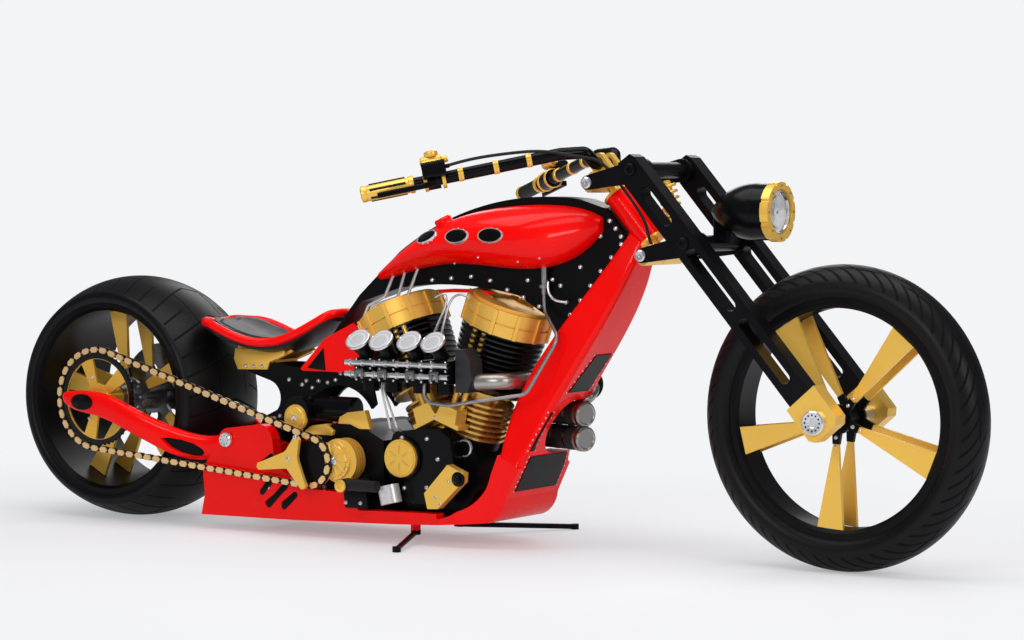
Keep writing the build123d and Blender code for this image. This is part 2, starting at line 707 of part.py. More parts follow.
bracket_low = 448 + seat_gap
with BuildPart() as seat_bracket:
    for plate_y in (52, -44):
        with BuildSketch(side_at(0, plate_y, 0)):
            Polygon(*from_pivot([(-51, bracket_low), (-45, 500), (120, 500), (141, 480),
                                 (66, bracket_low)]), align=None)
        extrude(amount=8)
    with BuildSketch(side_at(0, 44, 0)):
        Polygon(*from_pivot([(-40, bracket_low), (-37, bracket_low + 7), (80, bracket_low + 7),
                             (80, bracket_low)]), align=None)
    extrude(amount=88)
    add(saddle_layer(-pan_t - seat_gap, 60, -1), mode=Mode.SUBTRACT)
save(seat_bracket.part, "seat_bracket")

# Engine: crankcase, two leaning cylinders with round fins, and the covers on the near side
case_half_w = 92
lean_front = v_angle / 2 + engine_tilt
lean_rear = lean_front - v_angle
case_deck = 104         # from the crankshaft to the foot of a cylinder
drum_low = 398          # from the crankshaft to the foot of a rocker cover
drum_h = 66
fin_t = 5
tappet_places = ((lean_front, 40), (lean_rear, -32))     # lean, and place forward of the crank
tappet_z = 339.2
tappet_rise = 22
pushrod_y = 92
pushrod_r = 7
pushrod_apart = 14


def cylinder_plane(lean, distance):
    """Plane square to a cylinder's axis, at a distance from the crankshaft."""
    tilt = radians(lean)
    return Plane(origin=(crank_x + distance * sin(tilt), 0, crank_z + distance * cos(tilt)),
                 x_dir=(cos(tilt), 0, -sin(tilt)), z_dir=(sin(tilt), 0, cos(tilt)))


with BuildPart() as case_block:
    with BuildSketch(side_at(crank_x, case_half_w, crank_z)):
        Circle(crankcase_r)
        Polygon((-crankcase_r, 0), (-crankcase_r - 30, -40), (-100, -112), (10, -112),
                (60, -74), (116, -36), (crankcase_r, 0), align=None)
    extrude(amount=2 * case_half_w)
    for lean in (lean_front, lean_rear):
        with BuildSketch(cylinder_plane(lean, case_deck - 40)):
            Circle(lower_fin_r - 6)
        extrude(amount=40)
    split(bisect_by=Plane.XY.offset(73), keep=Keep.TOP)

with BuildPart() as cylinders:
    for lean in (lean_front, lean_rear):
        with BuildSketch(cylinder_plane(lean, case_deck)):
            Circle(cylinder_r)
        extrude(amount=drum_low - case_deck)
        for fin in range(7):
            with BuildSketch(cylinder_plane(lean, case_deck + 4 + 15 * fin)):
                Circle(lower_fin_r)
            extrude(amount=fin_t + 1)
        for fin in range(12):
            with BuildSketch(cylinder_plane(lean, drum_low - fin_t - 14.5 * fin)):
                Circle(upper_fin_r - 1.2 * fin)
            extrude(amount=fin_t)
    with BuildSketch(cylinder_plane(lean_front / 2 + lean_rear / 2, 0)):
        Rectangle(4, 400)
    extrude(amount=700, mode=Mode.SUBTRACT)
    for lean, shift in tappet_places:
        across = Vector(cos(radians(lean)), 0, -sin(radians(lean)))
        rise = Vector(sin(radians(lean)), 0, cos(radians(lean)))
        foot = Vector(crank_x + shift, -pushrod_y, tappet_z)
        for side in (-1, 1):
            with BuildSketch(Plane(origin=foot + across * side * pushrod_apart, z_dir=rise)):
                Circle(pushrod_r + seat_gap)
            extrude(amount=drum_low, mode=Mode.SUBTRACT)
save(cylinders.part, "cylinders")

with BuildPart() as crankcase:
    add(case_block.part)
    add(cylinders.part, mode=Mode.SUBTRACT)
save(crankcase.part, "crankcase")

rocker_ribs = 12
with BuildPart() as rocker_covers:
    for lean in (lean_front, lean_rear):
        with BuildSketch(cylinder_plane(lean, drum_low)):
            Circle(rocker_r)
        extrude(amount=drum_h)
        with BuildSketch(cylinder_plane(lean, drum_low + 0.45 * drum_h)):
            Circle(rocker_r + 2)
            Circle(rocker_r - 4, mode=Mode.SUBTRACT)
        extrude(amount=5, mode=Mode.SUBTRACT)
        with BuildSketch(cylinder_plane(lean, drum_low)):
            with PolarLocations(rocker_r, rocker_ribs, start_angle=15):
                Rectangle(10, 9)
        extrude(amount=drum_h)
        with BuildSketch(cylinder_plane(lean, drum_low + drum_h)):
            Circle(rocker_r - 12)
            Circle(rocker_r - 60, mode=Mode.SUBTRACT)
            with PolarLocations(rocker_r - 58, 6):
                Circle(11, mode=Mode.SUBTRACT)
        extrude(amount=8)
    with BuildSketch(cylinder_plane(lean_front / 2 + lean_rear / 2, 0)):
        Rectangle(4, 400)
    extrude(amount=700, mode=Mode.SUBTRACT)
save(rocker_covers.part, "rocker_covers")

# Gold pushrod tubes: each stands on its tappet block and ends under the rocker cover
with BuildPart() as pushrod_tubes:
    for lean, shift in tappet_places:
        rise = Vector(sin(radians(lean)), 0, cos(radians(lean)))
        across = Vector(cos(radians(lean)), 0, -sin(radians(lean)))
        block_top = Vector(crank_x + shift, -pushrod_y, tappet_z) + rise * tappet_rise
        from_axis = block_top - Vector(crank_x, -pushrod_y, crank_z)
        tube_l = drum_low - from_axis.dot(rise)
        for side in (-1, 1):
            with BuildSketch(Plane(origin=block_top + across * side * pushrod_apart, z_dir=rise)):
                Circle(pushrod_r)
            extrude(amount=tube_l)
save(pushrod_tubes.part, "pushrod_tubes")

# Red oil tank behind the engine
oil_tank_half = 88
with BuildPart() as oil_tank:
    with BuildSketch(side_at(0, oil_tank_half, 0)):
        tank_low = rear_frame_top + seat_gap
        Polygon(*from_crank([(-462, tank_low + 6), (-382, 521), (-290, 564), (-274, 551),
                             (-266, tank_low), (-456, tank_low)]), align=None)
    extrude(amount=2 * oil_tank_half)
    with BuildSketch(side_at(0, spine_half_w + 1, 0)):
        Polygon(*from_crank([(-440, 500), (-250, 500), (-250, 620), (-440, 620)]), align=None)
    extrude(amount=2 * spine_half_w + 2, mode=Mode.SUBTRACT)
    with BuildSketch(cylinder_plane(lean_rear, case_deck)):
        Circle(rocker_r + 10)
    extrude(amount=drum_low, mode=Mode.SUBTRACT)
save(oil_tank.part, "oil_tank")



def pipe_run(points, pipe_radius, bend, carriers):
    """Round pipe along a filleted line, cut back where it enters what carries it."""
    with BuildPart() as run:
        with BuildLine() as path:
            FilletPolyline(*points, radius=bend)
        with BuildSketch(Plane(origin=path.line @ 0, z_dir=path.line % 0)):
            Circle(pipe_radius)
        sweep()
        for carrier in carriers:
            add(carrier, mode=Mode.SUBTRACT)
    return run.part


# Three rigid fuel pipes from the tank's tail down behind the rear rocker cover
with BuildPart() as fuel_pipes:
    for top_x, top_z, bend_x, low_x in ((-177, 692, -195, -260), (-138, 708, -153, -247),
                                        (-94, 722, -124, -221)):
        add(pipe_run([(crank_x + top_x, -60, top_z), (crank_x + bend_x, -74, 636),
                      (crank_x + low_x + 19, -84, 612), (crank_x + low_x, -84, 572)], 4, 14,
                     [fuel_tank.part, spine.part, rocker_covers.part, oil_tank.part]))


cam_x = crank_x - 88
cam_z = 223
cam_face_y = -142
with BuildPart() as cam_cover:
    with BuildSketch(side_at(0, -case_half_w, 0)):
        Polygon(*from_crank([(-118, 290), (-30, 300), (22, 303), (56, 279), (68, 215), (40, 130),
                             (-20, 106), (-60, 106), (-128, 150), (-145, 222)]), align=None)
    extrude(amount=-cam_face_y - case_half_w)
    with BuildSketch(side_at(cam_x, cam_face_y, cam_z)):
        Circle(56)
    extrude(amount=8)
save(cam_cover.part, "cam_cover")


with BuildPart() as billet_covers:
    with BuildSketch(side_at(cam_x, cam_face_y - 8, cam_z)):
        Circle(49)
    extrude(amount=9)
    with BuildSketch(side_at(cam_x, cam_face_y - 17, cam_z)):
        Circle(44)
        with PolarLocations(0, 6, start_angle=30):
            Polygon((9, 0), (24, -4), (36, 0), (24, 4), align=None, mode=Mode.SUBTRACT)
    extrude(amount=3)
    with BuildSketch(side_at(0, cam_face_y, 0)):
        Polygon(*from_crank([(66, 215), (114, 196), (112, 172), (36, 100), (4, 98), (-6, 138)]),
                align=None)
    extrude(amount=26)
    for lean, shift in tappet_places:
        with BuildSketch(side_at(crank_x + shift, -lower_fin_r - 2, tappet_z)):
            with Locations(Rotation(0, 0, -lean)):
                Polygon((-44, -26), (44, -26), (44, -14), (32, -14), (26, tappet_rise), (-26, tappet_rise),
                        (-32, -14), (-44, -14), align=None)
        extrude(amount=48)
save(billet_covers.part, "billet_covers")

# Induction: four side draught carburettors with bell mouths, on one manifold
carb_places = (-172, -99, -12, 62)      # forward of the crankshaft
carb_y = -136
carb_depth = 66
mouth_r = 33
mouth_tilt = 22
with BuildPart() as carburettors:
    for x in carb_places:
        with BuildSketch(side_at(crank_x + x, carb_y, 452)):
            RectangleRounded(58, 62, 6)
        extrude(amount=carb_depth)
        with BuildSketch(Plane.XY.offset(396)):
            with Locations((crank_x + x, carb_y - carb_depth / 2)):
                Circle(22)
        extrude(amount=30)
    for rail_z, rail_r, rail_y in ((470, 6, -208), (441, 6, -208)):
        with BuildSketch(section_at(crank_x + carb_places[0] - 56, rail_y, rail_z)):
            Circle(rail_r)
        extrude(amount=carb_places[-1] - carb_places[0] + 96)
    with BuildSketch(side_at(crank_x - 55, carb_y, 452)):
        Rectangle(carb_places[-1] - carb_places[0] + 30, 22)
    extrude(amount=40)
save(carburettors.part, "carburettors")

with BuildPart() as bell_mouths:
    for x in carb_places:
        mouth = Plane(origin=(crank_x + x, carb_y - 44, 484),
                      x_dir=(1, 0, 0), z_dir=(0, -cos(radians(mouth_tilt + 24)),
                                              sin(radians(mouth_tilt + 24))))
        with BuildSketch(mouth.offset(6)):
            Circle(20)
        with BuildSketch(mouth.offset(44)):
            Circle(24)
        with BuildSketch(mouth.offset(62)):
            Circle(mouth_r)
        loft()
        with BuildSketch(mouth.offset(62)):
            Circle(mouth_r)
        extrude(amount=6)
    add(carburettors.part, mode=Mode.SUBTRACT)
save(bell_mouths.part, "bell_mouths")

with BuildPart() as manifold:
    with BuildSketch(side_at(crank_x - 20, carb_y + 34, 440)):
        RectangleRounded(110, 44, 12)
    extrude(amount=34 - seat_gap)
    with BuildSketch(side_at(crank_x - 16, -52, 440)):
        Circle(11)
    extrude(amount=52)
    with BuildSketch(side_at(crank_x + 122, -128, 450)):
        Polygon((-20, -48), (16, -48), (28, -20), (24, 36), (2, 62), (-20, 62), align=None)
    extrude(amount=56)
    with BuildLine() as pipe_path:
        FilletPolyline((crank_x + 142, -154, 428), (crank_x + 222, -146, 433),
                       (crank_x + 219, -20, 430), radius=40)
    with BuildSketch(Plane(origin=pipe_path.line @ 0, z_dir=pipe_path.line % 0)):
        Circle(21)
    sweep()
save(manifold.part, "manifold")

# Steel pipes: the fuel pipes and two oil pipes from the carburettors to the cam cover
with BuildPart() as steel_pipes:
    add(fuel_pipes.part)
    for high_x, low_x, low_z in ((-139, -117, 284), (-132, -97, 288)):
        add(pipe_run([(crank_x + high_x, -160, 446), (crank_x + high_x, -168, 400),
                      (crank_x + low_x, -160, low_z + 16), (crank_x + low_x, cam_face_y + 8, low_z)],
                     3, 10, [carburettors.part, cam_cover.part]))
save(steel_pipes.part, "steel_pipes")

# Braided line from under the carburettors to the tap below the front of the tank
tap_x = crank_x + 287
tap_y = -54
with BuildPart() as feed_line:
    add(pipe_run([(crank_x + 11, -188, 424), (crank_x + 11, -198, 376), (crank_x + 94, -200, 370),
                  (crank_x + 175, -186, 384), (crank_x + 287, -142, 402), (crank_x + 361, -104, 545),
                  (tap_x, tap_y, 612), (tap_x, tap_y, 652)], 5, 34, [carburettors.part]))
    with BuildSketch(Plane.XY.offset(652)):
        with Locations((tap_x, tap_y)):
            Circle(8)
    extrude(amount=90)
    with BuildSketch(Plane.XY.offset(668)):
        with Locations((tap_x, tap_y)):
            Circle(14)
    extrude(amount=8)
    add(fuel_tank.part, mode=Mode.SUBTRACT)
save(feed_line.part, "feed_line")

# Gearbox with its finned cover, the sprocket guard, the starter and the primary drive
gearbox_low = 66
gearbox_top = 300
gearbox_left_y = 96
with BuildPart() as gearbox:
    with BuildSketch(side_at(0, gearbox_left_y, 0)):
        Polygon(*from_crank([(-396, 120), (-396, 262), (-330, gearbox_top), (-250, gearbox_top),
                             (-168, 262), (-168, gearbox_low), (-360, gearbox_low)]), align=None)
    extrude(amount=gearbox_left_y + 118)
save(gearbox.part, "gearbox")

cover_x = crank_x - 280
guard_y = chain_y - chain_half_w - 12
guard_arms = ((193, 112), (68, 66), (-58, 90))      # angle and reach of each arm
with BuildPart() as gearbox_covers:
    with BuildSketch(side_at(cover_x, -118.5, 207)):
        Circle(50)
    extrude(amount=46)
    for fin in range(4):
        with BuildSketch(side_at(cover_x, -124 - 12 * fin, 207)):
            Circle(58)
        extrude(amount=5)
    with BuildSketch(side_at(gearbox_x - 44, guard_y, gearbox_z + 6)):
        for angle, reach in guard_arms:
            with Locations(Location((0, 0), angle)):
                Polygon((0, -24), (reach - 5, -9), (reach, 0), (reach - 5, 9), (0, 24), align=None)
        Circle(26)
    extrude(amount=10)
    guard_post = guard_arms[0]
    with BuildSketch(side_at(gearbox_x - 44, -plate_outer_y - seat_gap, gearbox_z + 6)):
        with PolarLocations(guard_post[1] - 12, 1, start_angle=guard_post[0]):
            Circle(7)
    extrude(amount=-guard_y - plate_outer_y)
save(gearbox_covers.part, "gearbox_covers")

starter_x = crank_x - 431
starter_z = 330
with BuildPart() as starter:
    with BuildSketch(side_at(starter_x, 60, starter_z)):
        Circle(16)
    extrude(amount=60 + 62)
    with BuildSketch(side_at(starter_x, -62, starter_z)):
        Circle(36)
    extrude(amount=78)
    with BuildSketch(side_at(starter_x, -140, starter_z)):
        Circle(40)
    extrude(amount=10)
    with BuildSketch(section_at(starter_x + 26, -80, gearbox_top + seat_gap + 34)):
        Circle(34)
    extrude(amount=120)
save(starter.part, "starter")

primary_y = gearbox_left_y + seat_gap
primary_out_y = primary_y + 68
with BuildPart() as primary_cover:
    with BuildSketch(side_at(0, primary_y + 62, 0)):
        with Locations((crank_x, crank_z)):
            Circle(92)
        with Locations((crank_x - 300, crank_z + 34)):
            Circle(82)
        make_hull()
    extrude(amount=62)
    with BuildSketch(side_at(0, primary_out_y, 0)):
        with Locations((crank_x, crank_z)):
            Circle(70)
        with Locations((crank_x - 300, crank_z + 34)):
            Circle(62)
        make_hull()
    extrude(amount=6)
save(primary_cover.part, "primary_cover")

# Exhausts: two wrapped pipes that leave through the notch in the down tube
pipe_r = 31
with BuildPart() as exhaust_pipes:
    for start_z, turn_z, out_z, start_x in ((430, 363, 343, 60), (350, 325, 280, -60)):
        with BuildSketch(side_at(crank_x + start_x, 140, start_z)):
            Circle(pipe_r - 6)
        extrude(amount=60)
        with BuildLine() as exhaust_path:
            FilletPolyline((crank_x + start_x, 134, start_z), (crank_x + start_x + 60, 152, turn_z),
                           (crank_x + 190, 92, out_z), (crank_x + 352, 40, out_z), radius=60)
        with BuildSketch(Plane(origin=exhaust_path.line @ 0, z_dir=exhaust_path.line % 0)):
            Circle(pipe_r)
        sweep()
    add(cylinders.part, mode=Mode.SUBTRACT)
save(exhaust_pipes.part, "exhaust_pipes")

with BuildPart() as horn:
    horn_plane = Plane(origin=(crank_x + 300, 130, 413), x_dir=(0.4, 0.9, 0), z_dir=(0.9, -0.4, 0))
    with BuildSketch(horn_plane):
        Circle(38)
    extrude(amount=22)
save(horn.part, "horn")

with BuildPart() as foot_pegs:
    for out_y, mount_y in ((-plate_outer_y - 54, -118 - seat_gap),
                           (plate_outer_y + 54, primary_out_y + seat_gap)):
        with BuildSketch(side_at(crank_x - 225, max(out_y, mount_y), 150)):
            Circle(13)
        extrude(amount=abs(out_y - mount_y))
        with BuildSketch(side_at(crank_x - 225, out_y + 18, 150)):
            Circle(18)
        extrude(amount=36)
        with BuildSketch(section_at(crank_x - 225, out_y, 152)):
            Circle(15)
        extrude(amount=104)
save(foot_pegs.part, "foot_pegs")

with BuildPart() as canister:
    with BuildSketch(Plane(origin=(crank_x - 106, cam_face_y - 28 - seat_gap, 106),
                           z_dir=(-0.25, 0, 1))):
        Circle(28)
    extrude(amount=48)
save(canister.part, "canister")

# Girder fork
leg_outer_y = leg_inner_y + leg_t
leg_slots = ((0, 118), (-232, 190), (-452, 196))      # middle along w, overall length
with BuildPart() as fork_legs:
    for low_y in (leg_outer_y, -leg_inner_y):
        with BuildSketch(fork_side(low_y)):
            with BuildLine():
                Polyline((leg_u - leg_w / 2, block_top_w), (leg_u - leg_w / 2, leg_top_w - 46),
                         (leg_u - 12, leg_top_w), (leg_u + leg_w / 2 - 6, leg_top_w - 4),
                         (leg_u + leg_w / 2, leg_top_w - 18), (leg_u + leg_w / 2, block_top_w),
                         close=True)
            make_face()
            for slot_w, slot_l in leg_slots:
                with Locations(Location((leg_u, slot_w), 90)):
                    SlotOverall(slot_l, 28, mode=Mode.SUBTRACT)
            for boss_w in (link_front_top_w, link_back_low_w - link_drop):
                with Locations((leg_u, boss_w)):
                    Circle(crossbar_r - 6, mode=Mode.SUBTRACT)
        extrude(amount=leg_t)
save(fork_legs.part, "fork_legs")

with BuildPart() as axle_blocks:
    for low_y in (leg_outer_y, -leg_inner_y):
        with BuildSketch(fork_side(low_y)):
            Polygon((axle_u - 38, block_top_w), (axle_u + 56, block_top_w),
                    (axle_u + 54, block_top_w - 92), (axle_u + 40, block_top_w - 106),
                    (axle_u - 28, block_top_w - 106), (axle_u - 40, block_top_w - 92), align=None)
            with Locations((axle_u, axle_w)):
                Circle(front_axle_r + seat_gap, mode=Mode.SUBTRACT)
        extrude(amount=leg_t)
save(axle_blocks.part, "axle_blocks")

with BuildPart() as front_axle:
    with BuildSketch(side_at(*front_hub_point)):
        Circle(front_axle_r)
    extrude(amount=leg_outer_y + 8, both=True)
    for cap_y in (leg_outer_y + 10, -leg_outer_y):
        with BuildSketch(side_at(front_axle_x, cap_y, front_tyre_r)):
            Circle(25)
        extrude(amount=10)
    for sleeve_y in (leg_inner_y, -53):
        with BuildSketch(side_at(front_axle_x, sleeve_y, front_tyre_r)):
            Circle(24)
        extrude(amount=leg_inner_y - 53)
save(front_axle.part, "front_axle")

with BuildPart() as crossbars:
    for boss_w in (link_front_top_w, link_back_low_w - link_drop):
        with BuildSketch(fork_side(leg_inner_y)):
            with Locations((leg_u, boss_w)):
                Circle(crossbar_r)
        extrude(amount=2 * leg_inner_y)
        with BuildSketch(fork_side(leg_outer_y + 3)):
            with Locations((leg_u, boss_w)):
                Circle(crossbar_r - 6.3)
        extrude(amount=2 * leg_outer_y + 6)
save(crossbars.part, "crossbars")

clamp_w = link_back_top_w + 44      # middle of the bars in their clamps
link_y = 92
link_t = 14
with BuildPart() as girder_links:
    for back_w in (link_back_top_w, link_back_low_w):
        for low_y in (link_y + link_t, -link_y):
            with BuildSketch(fork_side(low_y)):
                with Locations((0, back_w)):
                    Circle(18)
                with Locations((leg_u, back_w - link_drop)):
                    Circle(crossbar_r + 9)
                make_hull()
                with Locations((leg_u, back_w - link_drop)):
                    Circle(crossbar_r + seat_gap, mode=Mode.SUBTRACT)
                with Locations((0, back_w)):
                    Circle(8, mode=Mode.SUBTRACT)
            extrude(amount=link_t)
save(girder_links.part, "girder_links")

with BuildPart() as yokes:
    with BuildSketch(fork_up(0, 0, -62)):
        Circle(stem_r)
    extrude(amount=62 + link_back_top_w)
    for back_w in (link_back_top_w, link_back_low_w):
        with BuildSketch(fork_side(link_y - 1)):
            with Locations((2, back_w)):
                RectangleRounded(52, 38, 12)
        extrude(amount=2 * link_y - 2)
        with BuildSketch(fork_side(link_y + link_t + 5)):
            with Locations((0, back_w)):
                Circle(7.7)
        extrude(amount=2 * (link_y + link_t) + 10)
    for riser_y in (34, -14):
        with BuildSketch(fork_side(riser_y)):
            with Locations((22, clamp_w - 10)):
                RectangleRounded(46, 64, 10)
            with Locations((22, clamp_w)):
                Circle(bar_r + seat_gap, mode=Mode.SUBTRACT)
        extrude(amount=20)
    with BuildSketch(fork_side(15)):
        Polygon((24, -62), (84, -62), (84, -34), (24, -34), align=None)
    extrude(amount=30)
save(yokes.part, "yokes")

# Front spring: coils between the lower yoke and the upper crossbar
with BuildPart() as shock:
    spring_low = fork_point(68, 0, link_back_low_w + 8 + seat_gap)
    spring_high = fork_point(leg_u - 12, 0, link_front_top_w - crossbar_r - 4)
    spring_dir = (Vector(*spring_high) - Vector(*spring_low)).normalized()
    spring_l = (Vector(*spring_high) - Vector(*spring_low)).length
    with BuildSketch(Plane(origin=spring_low, x_dir=(0, 1, 0), z_dir=spring_dir)):
        Circle(14)
    extrude(amount=spring_l)
    extrude(shock.faces().sort_by(Axis.Z)[0], amount=8)
    for coil in range(6):
        with BuildSketch(Plane(origin=Vector(*spring_low) + spring_dir * (18 + 16 * coil),
                               x_dir=(0, 1, 0), z_dir=spring_dir)):
            Circle(27)
        extrude(amount=9)
    add(yokes.part, mode=Mode.SUBTRACT)
save(shock.part, "shock")

# Headlamp on the lower crossbar
lamp_x = head_x + 345
lamp_z = head_z + 77
lamp_r = 73
lamp_axis = Axis((lamp_x, 0, lamp_z), (1, 0, 0))
with BuildPart() as headlamp:
    with BuildSketch(Plane(origin=(lamp_x, 0, lamp_z), x_dir=(1, 0, 0), z_dir=(0, -1, 0))):
        with BuildLine():
            Line((-180, 0), (-8, 0))
            Line((-8, 0), (-8, lamp_r - 4))
            Line((-8, lamp_r - 4), (-40, lamp_r - 3))
            ThreePointArc((-40, lamp_r - 3), (-135, 46), (-180, 0))
        make_face()
    revolve(axis=lamp_axis)
    bar_x, _, bar_z = fork_point(leg_u, 0, link_back_low_w - link_drop)
    with BuildSketch(Plane.XY.offset(lamp_z)):
        with Locations((bar_x + 18, 0)):
            RectangleRounded(46, 34, 8)
    extrude(amount=bar_z - lamp_z)
    with BuildSketch(fork_side(30)):
        with Locations((leg_u, link_back_low_w - link_drop)):
            Circle(crossbar_r + seat_gap)
    extrude(amount=60, mode=Mode.SUBTRACT)
save(headlamp.part, "headlamp")

with BuildPart() as headlamp_ring:
    with BuildSketch(section_at(lamp_x - 8 + seat_gap, 0, lamp_z)):
        Circle(lamp_r)
        Circle(lamp_r - 18, mode=Mode.SUBTRACT)
        with PolarLocations(lamp_r, 8, start_angle=22.5):
            Circle(5, mode=Mode.SUBTRACT)
    extrude(amount=22)
save(headlamp_ring.part, "headlamp_ring")

with BuildPart() as headlamp_lens:
    with BuildSketch(section_at(lamp_x - 7, 0, lamp_z)):
        Circle(lamp_r - 18.5)
    extrude(amount=17)
    fillet(headlamp_lens.faces().sort_by(Axis.X)[-1].edges(), 6)
save(headlamp_lens.part, "headlamp_lens")

# Handlebar: one bent tube, black with grips and controls
bar_end = Vector(head_x - 623.6, -370, 905)
bar_bend = Vector(head_x - 214.6, -94, 1006)
clamp_x, _, clamp_z = fork_point(22, 0, clamp_w)
bar_half = [(bar_end.X, bar_end.Y, bar_end.Z), (bar_bend.X, bar_bend.Y, bar_bend.Z),
            (clamp_x - 14, -70, bar_bend.Z + 4), (clamp_x, -48, clamp_z)]
with BuildPart() as handlebar:
    with BuildLine() as bar_path:
        FilletPolyline(*bar_half, *[(x, -y, z) for x, y, z in reversed(bar_half)], radius=15)
    with BuildSketch(Plane(origin=bar_path.line @ 0, z_dir=bar_path.line % 0)):
        Circle(bar_r)
    sweep()
save(handlebar.part, "handlebar")

grip_start = bar_end
grip_dir = (bar_bend - bar_end).normalized()
with BuildPart() as grip_right:
    with BuildSketch(Plane(origin=grip_start, z_dir=grip_dir)):
        Circle(grip_r)
        Circle(bar_r, mode=Mode.SUBTRACT)
    extrude(amount=grip_l)
with BuildPart() as grips:
    add(grip_right.part)
    mirror(grip_right.part, about=Plane.XZ)
save(grips.part, "grips")

with BuildPart() as control_right:
    control_plane = Plane(origin=grip_start + grip_dir * (grip_l + 26), x_dir=(0.56, -0.83, 0),
                          z_dir=grip_dir)
    with BuildSketch(control_plane):
        Circle(bar_r + 8)
        Circle(bar_r, mode=Mode.SUBTRACT)
    extrude(amount=40)
    with BuildSketch(control_plane):
        with Locations((26, -26)):
            RectangleRounded(34, 42, 8)
        Circle(bar_r, mode=Mode.SUBTRACT)
    extrude(amount=60)
    with BuildSketch(control_plane):
        with Locations((34, 8)):
            Rectangle(28, 12)
    extrude(amount=28)
    with BuildSketch(control_plane.offset(-120)):
        with Locations((44, 10)):
            RectangleRounded(8, 14, 3)
    extrude(amount=150)
with BuildPart() as controls:
    add(control_right.part)
    mirror(control_right.part, about=Plane.XZ)
save(controls.part, "controls")

# Hose from the near control over the bars and down to the lower yoke
hose_start = control_plane.offset(58).from_local_coords((26, -26))
hose_end = link_back_low_w + 15
with BuildPart() as bar_hose:
    add(pipe_run([tuple(hose_start), (head_x - 362, -210, 1003), (head_x - 237, -138, 1015),
                  (head_x - 158, -112, 1000), fork_point(52, -66, 230), fork_point(50, -66, 40),
                  fork_point(20, -60, hose_end + 22), fork_point(20, -60, hose_end)], 4, 34,
                 [controls.part, yokes.part, handlebar.part]))
save(bar_hose.part, "bar_hose")

# Two parking legs that swing out from under the pan
for name, stand_pivot, stand_foot, stand_up in stand_places:
    leg = stand_foot - stand_pivot
    with BuildPart() as stand:
        with BuildSketch(Plane(origin=stand_pivot, z_dir=leg.normalized())):
            Circle(stand_rod_r)
        extrude(amount=leg.length)
        with BuildSketch(Plane(origin=(stand_foot.X, stand_foot.Y, 0))):
            Circle(11)
        extrude(amount=2 * stand_rod_r)
        split(bisect_by=Plane.XY, keep=Keep.TOP)
        with BuildSketch(Plane(origin=stand_pivot - stand_up * stand_boss_t / 2, z_dir=stand_up)):
            Circle(13)
        extrude(amount=stand_boss_t)
        with BuildSketch(Plane(origin=stand_pivot, z_dir=stand_up)):
            Circle(stand_pin_r)
        extrude(amount=1.5 * stand_boss_t)
        with BuildSketch(Plane(origin=stand_pivot + stand_up * stand_boss_t / 2, z_dir=stand_up)):
            Circle(13 + 8)
            Circle(stand_pin_r, mode=Mode.SUBTRACT)
        extrude(amount=stand_boss_t, mode=Mode.SUBTRACT)
    save(stand.part, name)
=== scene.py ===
# %% [markdown]
# # A long low chopper
# The model arrives as bare solids in their real places. Everything here dresses them: first the
# camera and the light, then the finishes, then the small parts that give the machine its scale.

# %% Load the frame
import contextlib
import json
import math

import bpy
from mathutils import Matrix, Vector

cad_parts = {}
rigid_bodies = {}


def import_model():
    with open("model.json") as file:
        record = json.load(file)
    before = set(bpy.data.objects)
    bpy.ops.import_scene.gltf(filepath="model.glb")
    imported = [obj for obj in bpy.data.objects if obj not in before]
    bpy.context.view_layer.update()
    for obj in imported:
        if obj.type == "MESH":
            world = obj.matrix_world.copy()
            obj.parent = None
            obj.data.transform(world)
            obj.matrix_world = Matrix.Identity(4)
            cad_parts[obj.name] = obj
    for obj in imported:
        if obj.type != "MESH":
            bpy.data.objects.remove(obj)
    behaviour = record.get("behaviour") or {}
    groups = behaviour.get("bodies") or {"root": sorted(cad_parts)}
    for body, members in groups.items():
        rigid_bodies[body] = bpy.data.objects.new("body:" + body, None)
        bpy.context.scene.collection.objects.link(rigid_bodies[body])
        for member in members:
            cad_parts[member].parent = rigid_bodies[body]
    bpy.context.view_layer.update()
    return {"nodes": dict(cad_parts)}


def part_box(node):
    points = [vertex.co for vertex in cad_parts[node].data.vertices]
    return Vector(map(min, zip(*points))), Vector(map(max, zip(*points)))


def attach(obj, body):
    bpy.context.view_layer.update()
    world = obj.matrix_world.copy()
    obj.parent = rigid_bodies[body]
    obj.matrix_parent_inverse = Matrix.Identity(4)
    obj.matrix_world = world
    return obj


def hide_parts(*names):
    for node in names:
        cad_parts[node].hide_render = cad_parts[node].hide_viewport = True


bpy.ops.object.select_all(action="SELECT")
bpy.ops.object.delete()
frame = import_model()
nodes = frame["nodes"]

# %% [markdown]
# ## Landmarks
# Almost every small part sits on one of four lines: the two axles, the crankshaft and the steering
# axis. They are written once, in metres, with X forward and Z up.

# %% Landmarks
FRONT_AXLE = Vector((1.083, 0, 0.37))
REAR_AXLE = Vector((-1.116, 0, 0.337))
CRANK = Vector((-0.025, 0, 0.185))
PIVOT = Vector((-0.681, 0, 0.244))
HEAD = Vector((0.5486, 0, 0.7866))
RAKE = math.radians(41)
FORK_FORWARD = Vector((math.cos(RAKE), 0, math.sin(RAKE)))
FORK_UP = Vector((-math.sin(RAKE), 0, math.cos(RAKE)))
print("steering axis leans back", round(math.degrees(RAKE)), "degrees")

# %% [markdown]
# ## The camera
# The machine is seen from its right and a little ahead, from far away with a long lens, so its
# wheels stay nearly round. The lens sits at about the height of the tank.

